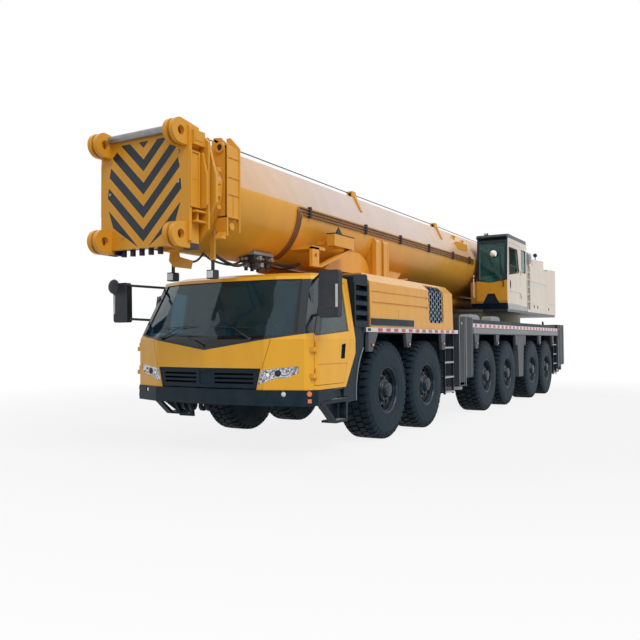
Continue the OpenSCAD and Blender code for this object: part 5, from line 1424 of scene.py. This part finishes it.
head_shapes = [
    boom_tube(3, TAIL_X + 0.6, HEAD_BACK - 0.02),
    prism(cut_box(0.790, 2.620, 3.940, 0.150), "x", HEAD_BACK - 0.030, HEAD_BACK),
    prism([(-0.64, 2.78), (-0.48, 2.62), (0.48, 2.62), (0.64, 2.78), (0.64, 3.82), (0.51, 3.92),
        (-0.51, 3.92), (-0.64, 3.82)], "x", HEAD_BACK - 0.005, HEAD_FRONT - 0.04),
    prism(cut_box(0.705, 2.585, 3.970, 0.040), "x", HEAD_FRONT - 0.050, HEAD_FRONT),
]
head_half = [
    hollow([(3.435, 3.01), (3.60, 3.01), (3.60, 3.66), (3.435, 3.66)],
        [(3.460, 3.03), (3.575, 3.03), (3.575, 3.64), (3.460, 3.64)], "y", 0.70, 0.72),
    box(3.435, 3.600, 0.635, 0.706, 3.01, 3.66),
    box(3.462, 3.573, 0.706, 0.709, 3.335, 3.345),
    prism([(0.635, 3.01), (0.77, 3.01), (0.80, 3.05), (0.80, 3.40), (0.74, 3.66), (0.635, 3.66)], "x", 3.385,
        3.420),
    box(HEAD_BACK - 0.005, HEAD_FRONT - 0.045, 0.49, 0.74, 3.73, 3.90),
    box(HEAD_BACK - 0.005, HEAD_FRONT - 0.06, 0.58, 0.76, 2.953, 2.977),
    box(HEAD_BACK - 0.005, HEAD_FRONT - 0.06, 0.58, 0.76, 2.838, 2.862),
    box(3.46, 3.49, 0.58, 0.72, 2.85, 2.965),
    box(3.43, 3.55, 0.738, 0.746, 3.775, 3.855),
    prism([(3.40, 3.90), (3.53, 3.90), (3.50, 3.965), (3.44, 3.965)], "y", 0.52, 0.55),
]
for y in (0.524, 0.620):
    head_half += [head_lug(y, LUG_TOP, 0.10), head_lug(y, LUG_LOW, 0.16)]
head_shapes += mirrored(head_half)
head_shapes += [rod((HEAD_BACK + 0.07, -0.48 + 0.15 * i, 2.52), (HEAD_BACK + 0.07, -0.48 + 0.15 * i, 2.60),
    0.034, 14) for i in range(5)]
head_shapes.append(box(HEAD_BACK + 0.02, HEAD_BACK + 0.12, -0.54, 0.33, 2.60, 2.63))
head = build("boom_head_frame", head_shapes, "boom_head", head_paint, bevel=0.004, smooth=28)
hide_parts("boom_head")
cross_tube = rod((LUG_X - 0.075, -0.53, LUG_TOP + 0.072), (LUG_X - 0.075, 0.53, LUG_TOP + 0.072), 0.045, 24)
build("head_cross_tube", [cross_tube], "boom_head", pale_steel)
print("head at", round(HEAD_BACK, 3), "to", round(LUG_X + LUG_R, 3))

# %% [markdown]
# Three feed pipes run along the left side, turn down, and follow the belly. Dark clips
# hold them. The valve block with its upright solenoids hangs below the belly, and two
# work lamps on brackets look forward from the mouth.

# %% Pipes, clips and valve block
PIPE_Y = BOOM_HALF + 0.0143
pipes = []
for i in range(3):
    z, x = BOOM_MID - 0.04 + 0.044 * i, 1.24 + 0.044 * i
    path = [(RING_X + 1.2, PIPE_Y, z), (x - 0.05, PIPE_Y, z), (x - 0.015, PIPE_Y, z - 0.012),
        (x, PIPE_Y, z - 0.05)]
    path += [(x, PIPE_Y * math.cos(t), BOOM_MID - PIPE_Y * math.sin(t))
        for t in [math.radians(8 + 5.2 * k) for k in range(12)]]
    pipes.append(sweep(path, 0.0135, 10))
feed_pipes = build("boom_feed_pipes", pipes, "boom", pipe_brown, smooth=50)
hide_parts("boom_fittings")
clips = [box(x - 0.025, x + 0.025, BOOM_HALF, BOOM_HALF + 0.044, 3.25, 3.41)
    for x in (1.02, -0.78, -2.20, -3.60, -5.00, -6.10)]
build("pipe_clips", clips, "boom", black_plastic, bevel=0.003)
lamp_shapes = []
for y in WORK_LAMP_Y:
    lamp_shapes += [(*box(2.900, 3.000, y - 0.055, y + 0.055, 2.240, 2.350), 0),
        (*box(2.930, 2.960, y - 0.018, y + 0.018, 2.345, 2.48), 0)]
    lamp_shapes += [(*box(2.998, 3.006, y - 0.043, y + 0.043, 2.252, 2.338), 1)]
    lamp_shapes += [(*box(2.885, 2.900, y - 0.048, y - 0.048 + 0.012, 2.25, 2.34), 0),
        (*box(2.885, 2.900, y + 0.036, y + 0.048, 2.25, 2.34), 0)]
build("work_lamps", lamp_shapes, "boom", [black_plastic, white_lens], bevel=0.004)
valve = [(*box(1.50, 1.95, 0.13, 0.42, 2.655, 2.70), 0), (*box(1.52, 1.93, 0.16, 0.40, 2.56, 2.66), 1)]
for i, x in enumerate((1.56, 1.70, 1.84)):
    for k, y in enumerate((0.20, 0.355)):
        valve += [(*rod((x, y, 2.50), (x, y, 2.60), 0.042, 18), (i + k) % 2),
            (*rod((x, y, 2.455), (x, y, 2.50), 0.026, 12), 1)]
    valve += [(*rod((x, 0.40, 2.61), (x, 0.455, 2.61), 0.032, 16), i % 2),
        (*rod((x + 0.05, 0.40, 2.60), (x + 0.05, 0.44, 2.60), 0.014, 10), 0)]
valve += [(*rod((1.95, 0.30 - 0.06 * i, 2.60), (1.99, 0.30 - 0.06 * i, 2.60), 0.022, 12), 0)
    for i in range(3)]
build("belly_valve_block", valve, "boom", [pale_steel, hose_rubber], bevel=0.003)
print("pipes, clips, lamps and valve block stand for the plain fittings")

# %% [markdown]
# ## Boom
# A hoist rope runs over the guides on the boom's top. It is a thin pipe swept along the
# guides, because it is taut there. Hydraulic hoses loop from the mouth to the valve block,
# along smooth curves through a few points, and a plate hangs beside them.

# %% Rope, hoses and hanging plate
ROPE_Y = 0.418
ROPE_Z = 3.972
rope = sweep([(2.95, ROPE_Y, ROPE_Z + 0.01), (-0.88, ROPE_Y, ROPE_Z), (-4.69, ROPE_Y, ROPE_Z),
    (-9.2, ROPE_Y, ROPE_Z - 0.03)], 0.008, 8)
build("hoist_rope", [rope], "boom", rope_steel)
hose_runs = [
    [(2.74, 0.30, 2.63), (2.62, 0.35, 2.54), (2.35, 0.36, 2.475), (2.10, 0.32, 2.50), (1.94, 0.30, 2.58)],
    [(2.74, 0.18, 2.60), (2.60, 0.22, 2.52), (2.30, 0.24, 2.49), (2.08, 0.22, 2.53), (1.94, 0.22, 2.58)],
    [(1.51, 0.34, 2.60), (1.30, 0.40, 2.56), (1.05, 0.42, 2.57), (0.80, 0.43, 2.62)],
    [(1.51, 0.24, 2.57), (1.20, 0.30, 2.53), (0.95, 0.34, 2.55), (0.72, 0.36, 2.62)],
    [(2.95, -0.17, 2.60), (2.85, -0.05, 2.50), (2.78, 0.10, 2.50), (2.74, 0.20, 2.60)],
]
HOSE_R = (0.021, 0.014, 0.021, 0.014, 0.014)
hoses = [sweep(curved(run, 7), radius, 8) for run, radius in zip(hose_runs, HOSE_R)]
build("belly_hoses", hoses, "boom", hose_rubber)
hung_plate = prism([(-0.03, 2.62), (0.10, 2.62), (0.12, 2.52), (0.33, 2.46), (0.30, 2.36), (0.02, 2.40),
    (-0.05, 2.48)], "x", 3.10, 3.115)
build("hung_plate", [hung_plate], "boom", amber_paint)

# %% [markdown]
# Bolts hold the chevron plate, the box on the boom's side has a dark lid with a pointed
# cone, and each rope guide has an arm that reaches down the slope.

# %% Bolts, box lid and guide arms
plate_bolts = []
for y, z in ((0.545, 3.31), (-0.545, 3.27), (0.33, 2.73), (-0.33, 2.73), (0.545, 3.66), (-0.545, 3.66)):
    plate_bolts += faced([turned([(-0.001, 0.019), (0.008, 0.019), (0.012, 0.013), (0.012, 0)], (0, 0, 0),
        "x", 6)], (3.611, y, z))
build("chevron_plate_bolts", plate_bolts, "boom_head", pale_steel)
lid = box(0.045, 0.675, 0.815, 0.955, 3.058, 3.072)
cone = turned([(3.070, 0.060), (3.080, 0.058), (3.190, 0.006), (3.192, 0)], (0.42, 0.88, 0), "z", 6)
build("box_lid", [lid, cone], "boom", black_plastic, bevel=0.002)
arm_shapes = []
for x in GUIDE_X:
    arm_shapes.append(prism([(0.36, 3.895), (0.485, 3.885), (0.60, 3.655), (0.625, 3.66), (0.50, 3.93),
        (0.36, 3.94)], "x", x - 0.03, x + 0.03))
    arm_shapes.append(prism([(0.34, 3.97), (0.40, 3.998), (0.46, 3.998), (0.49, 3.92), (0.36, 3.92)], "x",
        x - 0.075, x - 0.060))
build("rope_guide_arms", arm_shapes, "boom", amber_paint, bevel=0.003)

# %% [markdown]
# ## Operator's cab and machinery housing
# The cab's windscreen carries a wiper and a round mirror, with a grab bar at its inner
# corner and a lamp on the roof. The side windows sit in black rubber frames, and the
# door's lower pane slides behind a rail.

# %% Operator's cab fittings
CAB_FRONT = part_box("operator_glass")[1].x - AXLE_X
lower_front = prism([(-7.20, 2.262), (-6.59, 2.262), (-6.52, 2.46), (-6.52, 2.85), (-7.20, 2.85)], "y", 0.622,
    0.778)
build("operator_cab_lower_front", [lower_front], "superstructure", operator_paint, bevel=0.006)
grab = [(*sweep(curved([(CAB_FRONT + 0.01, 0.715, 2.50), (CAB_FRONT + 0.05, 0.715, 2.53),
    (CAB_FRONT + 0.05, 0.715, 2.96), (CAB_FRONT + 0.01, 0.715, 2.99)], 5), 0.014, 10), 0),
    (*rod((CAB_FRONT + 0.05, 0.715, 2.93), (CAB_FRONT + 0.05, 0.715, 2.965), 0.018, 10), 1)]
build("operator_grab_bar", grab, "superstructure", [white_tape, red_tape])
mirror_shapes = faced(lens(0.088, 0.012, 1, 0.010), (CAB_FRONT - 0.004, 1.175, 3.495))
build("operator_round_mirror", mirror_shapes, "superstructure", [black_plastic, mirror_glass])
wiper = [(CAB_FRONT + 0.020, 1.42, 2.72), (CAB_FRONT + 0.030, 1.405, 2.95), (CAB_FRONT + 0.010, 1.33, 3.28)]
build("operator_wiper", [sweep(wiper, [0.014, 0.011, 0.006], 8),
    rod((CAB_FRONT + 0.004, 1.35, 3.0), (CAB_FRONT - 0.004, 1.31, 3.55), 0.009, 8)], "superstructure",
    black_plastic)
lamp_stand = [(*rod((-6.62, 0.98, 3.94), (-6.62, 0.98, 3.965), 0.018, 10), 0),
    (*box(-6.66, -6.59, 0.94, 1.02, 3.955, 3.998), 0),
    (*box(-6.592, -6.586, 0.95, 1.01, 3.962, 3.992), 1)]
build("operator_roof_lamp", lamp_stand, "superstructure", [black_plastic, white_lens], bevel=0.002)


def window_seal(outline, y, radius=0.012):
    """A rubber seal round a side window, outline in (x, z)."""
    path = [(x, y, z) for x, z in outline + outline[:2]]
    return sweep(path, radius, 6)


door_window = [(-6.67, 3.01), (-6.67, 3.65), (-7.36, 3.65), (-7.52, 3.15), (-7.49, 3.11)]
door_trim = [window_seal(door_window, 1.497), rod((-6.68, 1.492, 3.245), (-7.485, 1.492, 3.210), 0.013, 8)]
build("operator_door_seal", door_trim, "op_door", black_plastic)
rear_window = [(-7.75, 3.14), (-7.75, 3.69), (-8.145, 3.69), (-8.145, 3.18), (-8.095, 3.14)]
build("operator_window_seal", [window_seal(rear_window, 1.497, 0.009)], "superstructure", black_plastic)

# %% [markdown]
# The housing's front corner is a ladder bay. The panel latches are dark, a round mirror
# watches the rear, and a fan sits in the dark box above the ladder.

# %% Housing fittings
housing_shapes = []
for x, z in ((-9.576, 2.36), (-10.86, 2.344), (-9.2, 2.36)):
    housing_shapes.append((*box(x - 0.02, x + 0.02, 1.448, 1.458, z - 0.04, z + 0.04), 0))
housing_shapes.append((*rod((-9.88, 1.33, 3.60), (-9.88, 1.33, 3.75), 0.012, 8), 0))
housing_shapes += [(*s[:2], 0) for s in faced([turned([(-0.02, 0.03), (0.0, 0.055), (0.02, 0.055), (0.03, 0)],
    (0, 0, 0), "x", 16)], (-9.88, 1.33, 3.785))]
housing_shapes += [(*turned([(1.470, 0.125), (1.478, 0.120), (1.478, 0.100), (1.470, 0.098)],
    (-8.69, 0, 3.555), "y", 24, capped=False), 1)]
for k in range(6):
    turn = k * math.pi / 3
    tip = (-8.69 + 0.098 * math.cos(turn), 1.474, 3.555 + 0.098 * math.sin(turn))
    housing_shapes.append((*rod((-8.69, 1.474, 3.555), tip, 0.006, 6), 1))
for i in range(1, 6):
    z = 2.2603 + 0.19 * i
    housing_shapes.append((*box(-8.80, -8.53, 1.392, 1.434, z + 0.023, z + 0.030), 2))
build("housing_fittings", housing_shapes, "superstructure", [black_plastic, edge_grey, white_tape],
    bevel=0.001)
